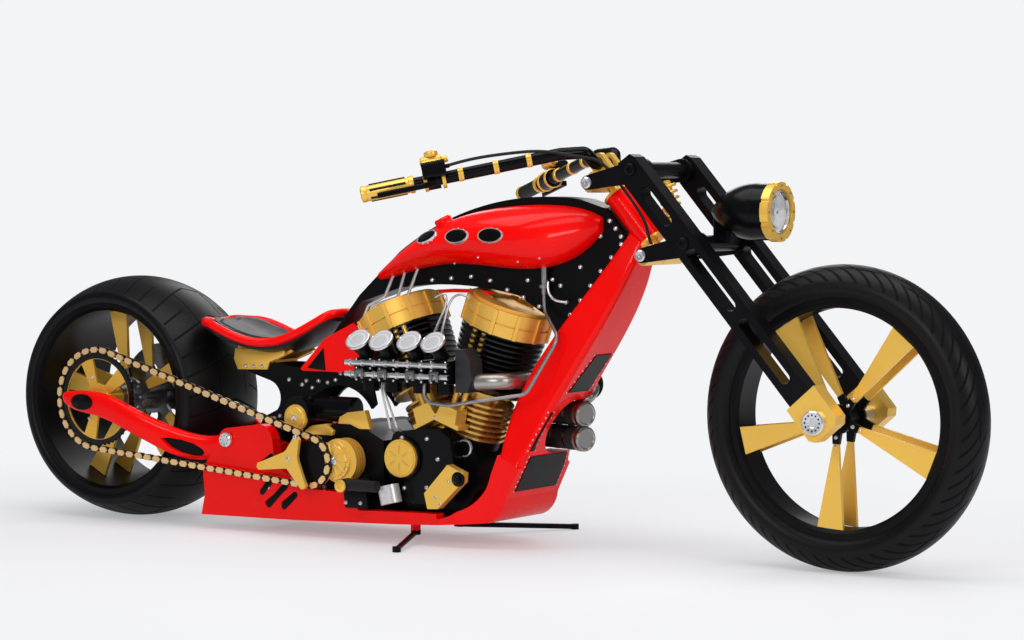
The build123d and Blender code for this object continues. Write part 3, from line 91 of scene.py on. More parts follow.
# %% Camera
camera_data = bpy.data.cameras.new("view")
camera_data.sensor_width = 36
camera_data.lens = 100.49
camera = bpy.data.objects.new("view", camera_data)
bpy.context.scene.collection.objects.link(camera)
camera.location = (4.1319, -6.1765, 0.9344)
YAW, PITCH = -0.575, -0.048
heading = Vector((math.sin(YAW) * math.cos(PITCH), math.cos(YAW) * math.cos(PITCH),
                  math.sin(PITCH)))
camera.rotation_euler = heading.to_track_quat("-Z", "Y").to_euler()
bpy.context.scene.camera = camera
bpy.context.scene.view_settings.view_transform = "Standard"
print("camera", tuple(round(v, 2) for v in camera.location))

# %% [markdown]
# ## Shader sums
# A finish is a small network of nodes. Wiring it by hand hides what it does, so a thin wrapper
# round a socket lets the network be written as sums: `1 - mask` adds the Math node that it needs.


# %% Shader wrapper
class Socket:
    """One output socket; sums on it add Math nodes."""

    def __init__(self, finish, socket):
        self.finish = finish
        self.socket = socket

    def calc(self, operation, *values):
        return self.finish.add("Math", {"operation": operation}, [self, *values])

    def __add__(self, other):
        return self.calc("ADD", other)

    def __sub__(self, other):
        return self.calc("SUBTRACT", other)

    def __mul__(self, other):
        return self.calc("MULTIPLY", other)

    def __gt__(self, other):
        return self.calc("GREATER_THAN", other)

    def __lt__(self, other):
        return self.calc("LESS_THAN", other)

    def __rsub__(self, other):
        return self.finish.add("Math", {"operation": "SUBTRACT"}, [other, self])

    __radd__ = __add__
    __rmul__ = __mul__


class Finish:
    """A material, or the world, under construction."""

    def __init__(self, name, owner=None):
        self.material = owner or bpy.data.materials.new(name)
        self.material.use_nodes = True
        self.tree = self.material.node_tree
        self.tree.nodes.clear()

    def add(self, kind, settings=None, values=(), output=0):
        """Adds a node: its settings first, then its sockets by number or name."""
        node = self.tree.nodes.new("ShaderNode" + kind)
        for key, value in (settings or {}).items():
            setattr(node, key, value)
        pairs = values.items() if isinstance(values, dict) else enumerate(values)
        for key, value in pairs:
            if isinstance(value, Socket):
                self.tree.links.new(value.socket, node.inputs[key])
            else:
                node.inputs[key].default_value = value
        return Socket(self, node.outputs[output])

    def place(self):
        """Position on the object, in metres."""
        return self.add("TexCoord", output="Object")

    def split(self, vector):
        node = self.add("SeparateXYZ", None, [vector]).socket.node
        return [Socket(self, output) for output in node.outputs]

    def blend(self, factor, first, second):
        settings = {"data_type": "RGBA"}
        return self.add("Mix", settings, {0: factor, 6: first, 7: second}, output=2)

    def stretched(self, stretch):
        """Places for a pattern that has so many waves in a metre along each axis."""
        values = {"Vector": self.place(), "Scale": [1 / waves for waves in stretch]}
        return self.add("Mapping", {"vector_type": "TEXTURE"}, values)

    def noise(self, scale, detail=3, vector=None):
        values = {"Vector": vector or self.place(), "Scale": scale, "Detail": detail}
        return self.add("TexNoise", None, values)

    def bump(self, height, strength, distance):
        values = {"Strength": strength, "Distance": distance, "Height": height}
        return self.add("Bump", None, values)

    def rays(self, *kinds):
        """Which kinds of ray ask for the colour: 1 for a kind that asks, else 0."""
        outputs = self.add("LightPath").socket.node.outputs
        return [Socket(self, outputs["Is " + kind + " Ray"]) for kind in kinds]

    def close(self, surface, output="OutputMaterial"):
        end = self.tree.nodes.new("ShaderNode" + output)
        self.tree.links.new(surface.socket, end.inputs["Surface"])
        return self.material

    def shader(self, values):
        return self.close(self.add("BsdfPrincipled", None, values))


# %% [markdown]
# ## Lacquer, powder coat and metal
# The frame is red lacquer under a thin clear coat, so it gets a coat layer of its own and almost no
# texture. The dark parts are satin powder coat: a fine grain and a broad, soft highlight. The metals
# are brushed, which is noise stretched a long way in one direction.


# %% Base finishes
def lacquer(name, colour, dark):
    f = Finish(name)
    depth = f.noise(7, 2) * 0.5
    tone = f.blend(depth, (*colour, 1), (*dark, 1))
    ripple = f.bump(f.noise(420, 2), 0.03, 0.0004)
    rough = f.noise(90, 2) * 0.05 + 0.24
    return f.shader({"Base Color": tone, "Roughness": rough, "Normal": ripple,
                     "Specular IOR Level": 0.08, "Coat Weight": 0.22, "Coat Roughness": 0.04})


def powder(name, colour, pale, rough=0.34, metallic=0.0):
    f = Finish(name)
    patch = f.noise(14, 4)
    tone = f.blend(patch * 0.6, (*colour, 1), (*pale, 1))
    grain = f.bump(f.noise(1600, 2), 0.1, 0.0003)
    return f.shader({"Base Color": tone, "Roughness": patch * 0.14 + (rough - 0.07),
                     "Metallic": metallic, "Specular IOR Level": 0.12, "Normal": grain})


def brushed(name, colour, pale, rough=0.24, stretch=(60, 60, 900), metallic=1.0):
    f = Finish(name)
    lines = f.noise(1, 4, f.stretched(stretch))
    cloud = f.noise(22, 3)
    tone = f.blend(lines * 0.55 + cloud * 0.25, (*colour, 1), (*pale, 1))
    return f.shader({"Base Color": tone, "Metallic": metallic,
                     "Roughness": lines * 0.16 + cloud * 0.08 + (rough - 0.12),
                     "Normal": f.bump(lines, 0.06, 0.0002)})


RED = lacquer("red_lacquer", (0.96, 0.002, 0.001), (0.84, 0.001, 0.001))
BLACK = powder("black_satin", (0.0015, 0.0015, 0.002), (0.006, 0.006, 0.007))
BLACK_GLOSS = powder("black_gloss", (0.002, 0.002, 0.0025), (0.006, 0.006, 0.007), 0.2)
GOLD = brushed("gold_anodised", (0.92, 0.53, 0.07), (0.98, 0.62, 0.13), 0.36,
               metallic=0.5)
STEEL = brushed("steel_polished", (0.62, 0.62, 0.63), (0.84, 0.84, 0.85), 0.16, (300, 300, 300),
                metallic=0.7)
CAST_ALLOY = brushed("cast_alloy", (0.6, 0.6, 0.61), (0.76, 0.76, 0.77), 0.3, (200, 200, 200),
                     metallic=0.45)
SATIN_STEEL = brushed("steel_satin", (0.3, 0.29, 0.28), (0.46, 0.45, 0.43), 0.34, (200, 200, 200))
DARK_STEEL = brushed("steel_dark", (0.16, 0.16, 0.17), (0.3, 0.3, 0.31), 0.3)
print("base finishes", len(bpy.data.materials))

# %% [markdown]
# ## Rubber, leather and glass
# Rubber is a dull near black with dust in patches. The saddle is fine leather, whose grain is a web
# of tiny cells. The lamp glass is clear.


# %% Soft finishes
def rubber(name, colour=(0.007, 0.007, 0.008), rough=0.55):
    f = Finish(name)
    dust = f.noise(9, 5)
    tone = f.blend(dust * 0.5, (*colour, 1), (0.018, 0.018, 0.019, 1))
    return f.shader({"Base Color": tone, "Roughness": dust * 0.16 + (rough - 0.08),
                     "Specular IOR Level": 0.25, "Normal": f.bump(f.noise(700, 3), 0.12, 0.0003)})


def hide(name):
    f = Finish(name)
    cells = f.add("TexVoronoi", {"feature": "DISTANCE_TO_EDGE"},
                  {"Vector": f.place(), "Scale": 520})
    fold = f.noise(30, 4)
    tone = f.blend(fold, (0.005, 0.005, 0.006, 1), (0.014, 0.013, 0.013, 1))
    return f.shader({"Base Color": tone, "Roughness": fold * 0.2 + 0.32,
                     "Specular IOR Level": 0.3,
                     "Normal": f.bump(cells * 0.6 + fold * 0.4, 0.35, 0.0006)})


def lamp_glass(name):
    f = Finish(name)
    rough = f.noise(60, 2) * 0.03
    return f.shader({"Base Color": (1, 1, 1, 1), "Roughness": rough, "Transmission Weight": 1.0,
                     "IOR": 1.45})


RUBBER = rubber("rubber")
LEATHER = hide("leather")
GLASS = lamp_glass("lamp_glass")
print("finishes", len(bpy.data.materials))

# %% [markdown]
# ## Light and floor
# The machine stands on a white sweep under soft lamps. The floor answers the camera with its own
# white, and only its shadows come from the lamps, so the page stays pale. Glossy rays see a dimmer
# room, because bright metal needs something dark to mirror.


# %% Floor, sweep and lamps
PAGE = (0.9, 0.905, 0.92, 1)


def floor_white(name):
    f = Finish(name)
    worn = f.noise(0.8, 3)
    tone = f.blend(worn, (0.8, 0.8, 0.82, 1), (0.86, 0.86, 0.88, 1))
    ground = f.add("BsdfPrincipled", None, {"Base Color": tone, "Roughness": worn * 0.1 + 0.6,
                                            "Specular IOR Level": 0.1})
    page = f.add("Emission", None, {"Color": PAGE, "Strength": 1})
    x, y, z = f.split(f.place())
    away = f.add("Math", {"operation": "SQRT"}, [x * x * 0.5 + y * y])
    fade = f.add("MapRange", {"interpolation_type": "SMOOTHSTEP"}, [away, 0.5, 2.2, 0.35, 1])
    eye, mirror = f.rays("Camera", "Glossy")
    share = fade * eye.calc("MAXIMUM", mirror * 0.3)
    return f.close(f.add("MixShader", None, [share, ground, page]))


bpy.ops.mesh.primitive_plane_add(size=30, location=(0, 0, -0.0006))
floor = bpy.context.active_object
floor.name = "floor"
floor.data.materials.append(floor_white("floor_white"))

world = bpy.data.worlds.new("room")
bpy.context.scene.world = world
room = Finish("room", world)
eye, clear, mirror = room.rays("Camera", "Transmission", "Glossy")
strength = room.add("MapRange", None, {"Value": mirror, "To Min": 0.42, "To Max": 0.16})
soft = room.add("Background", None, {"Color": (0.92, 0.94, 1, 1), "Strength": strength})
white = room.add("Background", None, {"Color": PAGE, "Strength": 1})
room.close(room.add("MixShader", None, [eye.calc("MAXIMUM", clear), soft, white]), "OutputWorld")


def lamp(name, place, aim, size, power):
    bpy.ops.object.light_add(type="AREA", location=place)
    light = bpy.context.active_object
    light.name = name
    light.data.shape = "RECTANGLE"
    light.data.size, light.data.size_y = size
    light.data.energy = power
    light.rotation_euler = (Vector(aim) - Vector(place)).to_track_quat("-Z", "Y").to_euler()


lamp("overhead", (0.2, -0.4, 3.6), (0, 0, 0.3), (4.5, 2.6), 95)
lamp("near_side", (1.0, -4.6, 2.3), (0, 0, 0.5), (2.6, 0.8), 60)
lamp("ahead", (4.2, -1.2, 1.8), (0.3, 0, 0.5), (0.9, 1.8), 34)
lamp("far_side", (-1.5, 3.6, 2.6), (0, 0, 0.5), (3.0, 1.6), 40)

# %% [markdown]
# ## Finishes that follow the shape
# Some solids carry two finishes, because the real piece is plated or painted in zones. A mask made
# from position does that: the distance from an axle tells the toothed rim of a sprocket from its
# gold spider, and the height along a leaning cylinder tells black fins from gold ones.


# %% Masks from position
def from_axle(f, centre):
    """Radius and angle about a wheel's axle, and the distance across the machine."""
    x, y, z = f.split(f.place())
    dx = x - centre.x
    dz = z - centre.z
    return f.add("Math", {"operation": "SQRT"}, [dx * dx + dz * dz]), dz.calc("ARCTAN2", dx), y


def along_cylinder(f, lean):
    """Distance from the crankshaft along a cylinder that leans by some degrees."""
    x, y, z = f.split(f.place())
    lean = math.radians(lean)
    return (x - CRANK.x) * math.sin(lean) + (z - CRANK.z) * math.cos(lean)


def two_metals(name, mask_of, first, second, rough=(0.3, 0.26), metallic=(0.0, 1.0)):
    """A finish that changes from the first colour to the second where the mask is 1."""
    f = Finish(name)
    mask = mask_of(f)
    cloud = f.noise(20, 3)
    pale = f.blend(cloud * 0.5, (*first, 1), (*(c * 1.8 for c in first), 1))
    rich = f.blend(cloud * 0.5, (*second, 1), (*(min(1, c * 1.25) for c in second), 1))
    return f.shader({"Base Color": f.blend(mask, pale, rich),
                     "Metallic": mask * (metallic[1] - metallic[0]) + metallic[0],
                     "Roughness": mask * (rough[1] - rough[0]) + (cloud * 0.1 + rough[0] - 0.05),
                     "Specular IOR Level": 0.25, "Normal": f.bump(f.noise(900, 2), 0.06, 0.0003)})


GOLD_RGB = (0.86, 0.49, 0.07)
BLACK_RGB = (0.004, 0.004, 0.0045)
SPIDER_RADIUS = 0.112
PLENUM_FRONT = 0.127
FRONT_LEAN, REAR_LEAN = 19.5, -25.5
BETWEEN_CYLINDERS = -0.098
BLACK_FINS_FROM = 0.245
SPROCKET = two_metals("sprocket_zones", lambda f: from_axle(f, REAR_AXLE)[0] < SPIDER_RADIUS,
                      BLACK_RGB, GOLD_RGB, metallic=(0.0, 0.6))


def cast_gold(name):
    f = Finish(name)
    cloud = f.noise(16, 4)
    grain = f.noise(800, 3)
    tone = f.blend(cloud * 0.7, (0.9, 0.52, 0.08, 1), (0.96, 0.61, 0.14, 1))
    return f.shader({"Base Color": tone, "Metallic": 0.55, "Roughness": cloud * 0.1 + 0.42,
                     "Normal": f.bump(grain + cloud, 0.12, 0.0004)})


GOLD_CAST = cast_gold("gold_cast")
PLENUM = two_metals("plenum_zones", lambda f: f.split(f.place())[0] > PLENUM_FRONT,
                    (0.04, 0.04, 0.042), (0.42, 0.4, 0.37), (0.4, 0.36), (0.6, 1.0))


def fin_zones(f):
    ahead = f.split(f.place())[0] > BETWEEN_CYLINDERS
    depth = along_cylinder(f, FRONT_LEAN) * ahead + along_cylinder(f, REAR_LEAN) * (1 - ahead)
    return depth < BLACK_FINS_FROM


FINS = two_metals("cylinder_zones", fin_zones, BLACK_RGB, (0.6, 0.36, 0.09), metallic=(0.0, 0.7))
print("zoned finishes ready")

# %% [markdown]
# ## Tread
# Tyre grooves are too fine to model on a turned solid, but they follow simple rules: bars that sweep
# out from the centre line and repeat every few degrees, with short ones between them. Angle round
# the axle and distance from the centre line are all that the pattern needs.


# %% Tread finishes
LIP_PITCH = 0.0065
LINK_WIDTH = 0.0028


def saw(value, count):
    """A ramp from 0 to 1 that repeats: the fraction of value times count."""
    return (value * count).calc("FRACT")


def tread(name, centre, radius, bars, sweep, groove, shoulder, bare, ring):
    f = Finish(name)
    r, angle, y = from_axle(f, centre)
    out = y.calc("ABSOLUTE")
    turn = angle * (1 / (2 * math.pi)) + 2
    full = (saw(turn + out * sweep, bars) < groove) * (out > bare)
    short = (saw(turn + out * sweep + 0.5 / bars, bars) < groove) * (out > shoulder * 0.5)
    link = ((out - ring).calc("ABSOLUTE") < LINK_WIDTH) * (saw(turn + y * 2, bars * 0.5) < 0.5)
    crown = r > radius
    cut = full.calc("MAXIMUM", short).calc("MAXIMUM", link) * (out < shoulder) * crown
    lip = (saw(r, 1 / LIP_PITCH) < 0.12) * (1 - crown)
    dust = f.noise(11, 5)
    tone = f.blend(dust * 0.5, (0.002, 0.002, 0.0025, 1), (0.007, 0.007, 0.008, 1))
    # The grooves are painted near black: painted shade in the recesses of the tread, beside the bump
    # that shapes them.
    dark = f.blend(cut, tone, (0.0004, 0.0004, 0.0004, 1))
    height = (1 - cut) + f.noise(500, 3) * 0.05 - lip * 0.12
    return f.shader({"Base Color": dark, "Roughness": dust * 0.12 + cut * 0.4 + 0.34,
                     "Specular IOR Level": 0.19, "Normal": f.bump(height, 1.0, 0.005)})


FRONT_TREAD = tread("front_tread", FRONT_AXLE, radius=0.318, bars=27, sweep=0.95, groove=0.13,
                    shoulder=0.06, bare=0.008, ring=0.03)
REAR_TREAD = tread("rear_tread", REAR_AXLE, radius=0.285, bars=17, sweep=0.16, groove=0.055,
                   shoulder=0.15, bare=0, ring=0.055)
print("tyres use", FRONT_TREAD.name, "and", REAR_TREAD.name)

# %% [markdown]
# ## Dressing the solids
# Most solids already have the right shape, so they keep it and only take a finish. A table says
# which, and the cell stops if a solid was forgotten.


# %% Finish of each solid
WRAP_PITCH = 0.034
BRAID_PITCH = 0.0022
CHAIN_Y = -0.181
CHAIN_CORE = 0.0057


def heat_wrap(name):
    f = Finish(name)
    x, y, z = f.split(f.place())
    edge = saw(x + z * 0.15, 1 / WRAP_PITCH) < 0.1
    weave = f.noise(1100, 2)
    tone = f.blend(weave, (0.008, 0.008, 0.009, 1), (0.028, 0.028, 0.03, 1))
    return f.shader({"Base Color": f.blend(edge, tone, (0.002, 0.002, 0.002, 1)),
                     "Roughness": weave * 0.2 + 0.65,
                     "Normal": f.bump(weave * 0.5 + (1 - edge), 0.7, 0.002)})


def braid(name):
    f = Finish(name)
    x, y, z = f.split(f.place())
    weave = saw(x + y + z, 1 / BRAID_PITCH) * saw(x - y - z + 5, 1 / BRAID_PITCH)
    tone = f.blend(weave, (0.22, 0.22, 0.23, 1), (0.66, 0.66, 0.67, 1))
    return f.shader({"Base Color": tone, "Metallic": 1.0, "Roughness": weave * 0.15 + 0.26,
                     "Normal": f.bump(weave, 0.4, 0.0006)})


BRAID = braid("steel_braid")
CHAIN_GOLD = two_metals("chain_plates",
                        lambda f: (f.split(f.place())[1] - CHAIN_Y).calc("ABSOLUTE") > CHAIN_CORE,
                        (0.02, 0.018, 0.016), (0.84, 0.56, 0.26), (0.4, 0.28), (0.7, 0.6))
WRAP = heat_wrap("pipe_wrap")
dress = (
    (FRONT_TREAD, "front_tyre"),
    (REAR_TREAD, "rear_tyre"),
    (BLACK, "front_rim rear_rim front_hub front_sprocket spine rear_frame crankcase gearbox "
            "fork_legs crossbars girder_links right_stand left_stand"),
    (GOLD, "front_spokes rear_spokes steering_cups seat_bracket billet_covers gearbox_covers "
           "axle_blocks yokes shock headlamp_ring pushrod_tubes"),
    (DARK_STEEL, "rear_hub"),
    (SPROCKET, "rear_sprocket"),
    (CHAIN_GOLD, "chain"),
    (RED, "down_tube fuel_tank cradle swingarm oil_tank"),
    (STEEL, "rear_axle front_axle steel_pipes"),
    (BLACK_GLOSS, "brake_caliper cam_cover carburettors bell_mouths starter primary_cover "
                  "horn headlamp handlebar controls"),
    (LEATHER, "seat_pan seat_pad"),
    (FINS, "cylinders"),
    (GOLD_CAST, "rocker_covers"),
    (PLENUM, "manifold"),
    (WRAP, "exhaust_pipes"),
    (RUBBER, "foot_pegs grips bar_hose"),
    (CAST_ALLOY, "canister"),
    (GLASS, "headlamp_lens"),
    (BRAID, "feed_line"),
)
finish_of = {name: finish for finish, names in dress for name in names.split()}
for name, solid in nodes.items():
    solid.data.materials.clear()
    solid.data.materials.append(finish_of[name])
print("dressed", len(finish_of), "solids")

# %% [markdown]
# ## A small workshop
# Real fasteners, caps and rings are nearly all turned on a lathe, so one helper spins a profile
# about an axis. Another turns an outline into a plate with softened edges. A third finds the point
# on a solid that a ray meets, so that a small part can sit on the surface that carries it. Long
# tables are in millimetres, which are easier to read, and mm turns them into metres.


# %% Workshop helpers
def pick(*pieces):
    bpy.ops.object.select_all(action="DESELECT")
    for piece in pieces:
        piece.select_set(True)
    bpy.context.view_layer.objects.active = pieces[0]


def mm(*rows):
    """Rows of millimetres as rows of metres."""
    return [tuple(value / 1000 for value in row) for row in rows]


def new_piece(points, edges=(), faces=()):
    mesh = bpy.data.meshes.new("blank")
    mesh.from_pydata([tuple(p) for p in points], list(edges), [list(face) for face in faces])
    piece = bpy.data.objects.new("blank", mesh)
    bpy.context.scene.collection.objects.link(piece)
    return piece


def facing(point, direction):
    """A place on the object: +Z of the piece is turned to the direction."""
    turn = Vector(direction).to_track_quat("Z", "Y").to_matrix().to_4x4()
    return Matrix.Translation(Vector(point)) @ turn


def settle(piece, name, body, finish, angle=35):
    """Freezes a finished piece, or a list of them joined, and hands it to its body."""
    if isinstance(piece, list):
        piece = joined(*piece)
    pick(piece)
    bpy.ops.object.transform_apply(location=True, rotation=True, scale=True)
    piece.name = name
    piece.data.name = name
    piece.data.materials.clear()
    piece.data.materials.append(finish)
    bpy.ops.object.shade_smooth_by_angle(angle=math.radians(angle))
    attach(piece, body)
    return piece


@contextlib.contextmanager
def editing(piece):
    """Edit mode with all of the piece selected; at the end its faces are turned outward."""
    pick(piece)
    bpy.ops.object.mode_set(mode="EDIT")
    bpy.ops.mesh.select_all(action="SELECT")
    yield
    bpy.ops.mesh.select_all(action="SELECT")
    bpy.ops.mesh.normals_make_consistent(inside=False)
    bpy.ops.object.mode_set(mode="OBJECT")


def modify(piece, kind, **settings):
    """Adds a modifier, sets it and applies it."""
    pick(piece)
    modifier = piece.modifiers.new(kind, kind)
    for key, value in settings.items():
        setattr(modifier, key, value)
    bpy.ops.object.modifier_apply(modifier=kind)
    return piece


def circle(count, radius=1, start=0):
    """Places round a circle, as pairs of sideways and upward distances."""
    angles = [start + 2 * math.pi * number / count for number in range(count)]
    return [(radius * math.cos(angle), radius * math.sin(angle)) for angle in angles]


def turned(profile, point=(0, 0, 0), direction=(0, 0, 1), steps=32):
    """A lathe piece from (radius, height) pairs, listed from its top centre to its foot."""
    piece = new_piece([(r, 0, z) for r, z in profile],
                      [(i, i + 1) for i in range(len(profile) - 1)])
    with editing(piece):
        bpy.ops.mesh.spin(steps=steps, angle=2 * math.pi, center=(0, 0, 0), axis=(0, 0, 1))
        bpy.ops.mesh.select_all(action="SELECT")
        bpy.ops.mesh.remove_doubles(threshold=0.00002)
    piece.matrix_world = facing(point, direction)
    return piece


def slab(corners, thickness):
    """A face from its corners, extruded across the machine."""
    piece = new_piece(corners, (), [range(len(corners))])
    with editing(piece):
        bpy.ops.mesh.extrude_region_move(TRANSFORM_OT_translate={"value": (0, thickness, 0)})
    return piece


def plate(outline, near_y, thickness, soften=0.001):
    """A flat plate from (x, z) corners; its near face is at near_y."""
    piece = slab([(x, near_y, z) for x, z in outline], thickness)
    return modify(piece, "BEVEL", width=soften, segments=2)


def skin(points, faces):
    """A piece from points and faces, all turned the same way."""
    piece = new_piece(points, (), faces)
    with editing(piece):
        pass
    return piece


def joined(*pieces):
    pick(*pieces)
    if len(pieces) > 1:
        bpy.ops.object.join()
    return bpy.context.active_object


def scatter(master, places):
    """Copies of a master, each with its own mesh, at every place; the master goes."""
    copies = []
    for place in places:
        copy = master.copy()
        copy.data = master.data.copy()
        bpy.context.scene.collection.objects.link(copy)
        copy.matrix_world = place
        copies.append(copy)
    bpy.data.objects.remove(master)
    return joined(*copies)


def pipe(points, radius, smooth=True):
    """A round pipe that follows the points."""
    curve = bpy.data.curves.new("pipe", "CURVE")
    curve.dimensions = "3D"
    curve.bevel_depth = radius
    curve.bevel_resolution = 4
    curve.use_fill_caps = True
    run = curve.splines.new("NURBS" if smooth else "POLY")
    run.points.add(len(points) - 1)
    for knot, point in zip(run.points, points):
        knot.co = (*point, 1)
    if smooth:
        run.order_u = 3
        run.use_endpoint_u = True
    piece = bpy.data.objects.new("pipe", curve)
    bpy.context.scene.collection.objects.link(piece)
    pick(piece)
    bpy.ops.object.convert(target="MESH")
    return bpy.context.active_object


def touch(x, z, *names, side=-1):
    """Where a ray across the machine first meets a solid, and the way that its surface faces."""
    found = None
    start, across = Vector((x, side * 2, z)), Vector((0, -side, 0))
    for name in names:
        hit, point, normal, _ = nodes[name].ray_cast(start, across)
        if hit and (found is None or side * point.y > side * found[0].y):
            found = (point.copy(), normal.copy())
    return found


def bolt(radius, height):
    """A domed cap screw with a socket."""
    return turned([(0, height * 0.35), (radius * 0.38, height * 0.35), (radius * 0.42, height),
                   (radius * 0.78, height * 0.82), (radius, height * 0.3), (radius, -height * 0.3),
                   (0, -height * 0.3)], steps=10)


bpy.context.view_layer.update()
print("workshop ready; the ray finds the tank at y", round(touch(0.05, 0.8, "fuel_tank")[0].y, 3))

# %% [markdown]
# ## Bright screws on the black plates
# The spine and the rear plates are held by dozens of polished domed screws that follow their edges.
# They could be spheres, but a turned head with a socket catches the light as the real one does.
# One screw is made and copied along the rows, on both sides.


# %% Spine and plate screws
def screw_rows(name, body, places, carriers, radius=0.0062, sides=(-1, 1)):
    spots = []
    for side in sides:
        for x, z in places:
            found = touch(x, z, *carriers, side=side)
            if found:
                spots.append(facing(found[0], found[1]))
    piece = scatter(bolt(radius, radius * 0.9), spots)
    return settle(piece, name, body, STEEL)


spine_rows = mm((-157, 662), (-93, 681), (-33, 687), (29, 692), (88, 683), (140, 660),
                (189, 642), (237, 620), (203, 686), (301, 674), (277, 689), (360, 722),
                (390, 676), (420, 713), (451, 748), (480, 781), (479, 800), (463, 820),
                (446, 839), (419, 801), (360, 638), (330, 601), (318, 632), (-225, 635),
                (-280, 600), (-330, 565))
screw_rows("spine_screws", "frame", spine_rows, ["spine"])
tank_rows = mm((3, 727), (103, 745), (217, 735), (281, 745))
screw_rows("tank_screws", "frame", tank_rows, ["fuel_tank"], 0.0035)
arch_rows = mm((-547, 405), (-503, 393), (-489, 404), (-469, 386), (-448, 405), (-418, 402),
               (-392, 410), (-375, 428), (-335, 424), (-300, 410), (-517, 351), (-546, 334),
               (-598, 298), (-579, 305), (-571, 275))
screw_rows("rear_frame_screws", "frame", arch_rows, ["rear_frame"])
case_rows = mm((-112, 276), (-39, 276), (-5, 225), (-40, 150), (-110, 145))
screw_rows("cover_screws", "frame", case_rows, ["cam_cover"], 0.006, (-1,))
guard_rows = mm((-540, 185), (-410, 268), (-385, 130), (-434, 209))
screw_rows("guard_screws", "frame", guard_rows, ["gearbox_covers", "gearbox"], 0.007, (-1,))
print("screw heads on", len(spine_rows) + len(arch_rows), "places a side")

# %% [markdown]
# ## The tank's windows and cap
# Three black ovals sit along the tank's crease, each in a bright edge held by tiny screws. A turned
# disc, stretched along the tank and laid on its surface, gives the domed inlay, and a turned ring
# gives the edge.


# %% Tank inlays
def oval(profile, point, normal, length, height, steps=40):
    """A turned piece stretched into an oval that lies along the machine."""
    piece = turned(profile, steps=steps)
    out = Vector(normal).normalized()
    along = (Vector((1, 0, 0)) - out * out.x).normalized()
    up = out.cross(along)
    piece.matrix_world = Matrix.Translation(point) @ Matrix((
        (along.x, up.x, out.x, 0), (along.y, up.y, out.y, 0), (along.z, up.z, out.z, 0),
        (0, 0, 0, 1))) @ Matrix.Diagonal((length, height, 1, 1))
    return piece


window_spots = mm((-60, 794), (49, 798), (153, 801))
inlays, edges, pins = [], [], []
for side in (-1, 1):
    for x, z in window_spots:
        point, normal = touch(x, z, "fuel_tank", side=side)
        inlays.append(oval([(0, 0.004), (0.7, 0.0036), (0.94, 0.002), (1, -0.008), (0, -0.008)],
                           point, normal, 0.036, 0.019))
        edges.append(oval([(0.93, 0.0034), (1.02, 0.0034), (1.06, 0.001), (1.06, -0.008),
                           (0.93, -0.008), (0.93, 0.0034)], point, normal, 0.036, 0.019))
        for along, up in circle(12):
            spot, out = touch(x + 0.035 * along, z + 0.0185 * up, "fuel_tank", side=side)
            pins.append(facing(spot + out * 0.0025, out))
settle(inlays, "tank_inlays", "frame", BLACK_GLOSS)
settle(edges, "tank_inlay_edges", "frame", STEEL)
settle(scatter(bolt(0.0017, 0.0016), pins), "tank_inlay_pins", "frame", STEEL)
_, top, up, _ = nodes["fuel_tank"].ray_cast(Vector((-0.03, -0.075, 2)), Vector((0, 0, -1)))
filler = turned(mm((0, 10), (9, 10), (11, 14), (19, 16), (23, 12), (23, 2), (27, -4), (0, -6)),
                top, up)
settle(filler, "filler_cap", "frame", RED)
print("tank windows", len(window_spots) * 2)

# %% [markdown]
# ## Carburettor mouths and rails
# Fine steel gauze closes each bell mouth, and two bright throttle rails with clips run below them.
# The gauze is too fine to model wire by wire, so a slightly domed disc carries it as a pattern.


# %% Gauze discs and rails
GAUZE_PITCH = 0.0016
MOUTH_TILT = math.radians(46)


def gauze(name):
    f = Finish(name)
    x, y, z = f.split(f.place())
    weave = (saw(x, 1 / GAUZE_PITCH) < 0.3).calc("MAXIMUM", saw(z - y, 1 / GAUZE_PITCH) < 0.3)
    tone = f.blend(weave, (0.42, 0.42, 0.43, 1), (0.62, 0.62, 0.62, 1))
    cloud = f.noise(60, 2)
    return f.shader({"Base Color": tone, "Metallic": cloud * 0.1 + 0.05,
                     "Roughness": cloud * 0.1 + 0.42, "Normal": f.bump(weave, 0.25, 0.0004)})


GAUZE = gauze("steel_gauze")
carb_x = [CRANK.x + place for place in (-0.172, -0.099, -0.012, 0.062)]
mouth_out = Vector((0, -math.cos(MOUTH_TILT), math.sin(MOUTH_TILT)))
discs, rims = [], []
for x in carb_x:
    mouth = Vector((x, -0.18, 0.484)) + mouth_out * 0.068
    discs.append(turned(mm((0, 2), (12, 1.8), (22, 1.2), (30.5, 0.4), (30.5, -2), (0, -2)),
                        mouth, mouth_out))
    rims.append(turned(mm((30.5, 0.4), (31.5, 1.8), (33.5, 1), (33.8, -5), (30.5, -5),
                          (30.5, 0.4)), mouth, mouth_out))
settle(discs, "mouth_gauze", "frame", GAUZE)
settle(rims, "mouth_rims", "frame", STEEL)
rails = []
for z, reach in ((0.47, 0.07), (0.441, 0.072)):
    start = -0.25
    profile = [(0, start)]
    while start < reach - 0.03:
        profile += [(0.0068, start), (0.0068, start + 0.014), (0.0095, start + 0.015),
                    (0.0095, start + 0.021), (0.0068, start + 0.022), (0.0068, start + 0.034)]
        start += 0.0365
    profile += [(0.0068, reach), (0, reach)]
    rails.append(turned(profile, (0, -0.208, z), (1, 0, 0), 20))
settle(rails, "throttle_rails", "frame", STEEL)
body_screws = [(x + dx, z) for x in carb_x for dx in (-0.022, 0.022) for z in (0.427, 0.456, 0.479)]
screw_rows("carburettor_screws", "frame", body_screws, ["carburettors"], 0.0034, (-1,))
forks = [plate([(x - 0.016, 0.43), (x - 0.008, 0.43), (x - 0.008, 0.448), (x + 0.004, 0.448),
                (x + 0.004, 0.43), (x + 0.012, 0.43), (x + 0.012, 0.456), (x - 0.016, 0.456)],
               -0.222, 0.006) for x in carb_x]
settle(forks, "throttle_forks", "frame", DARK_STEEL)
print("carburettor pieces", len(discs), "mouths")

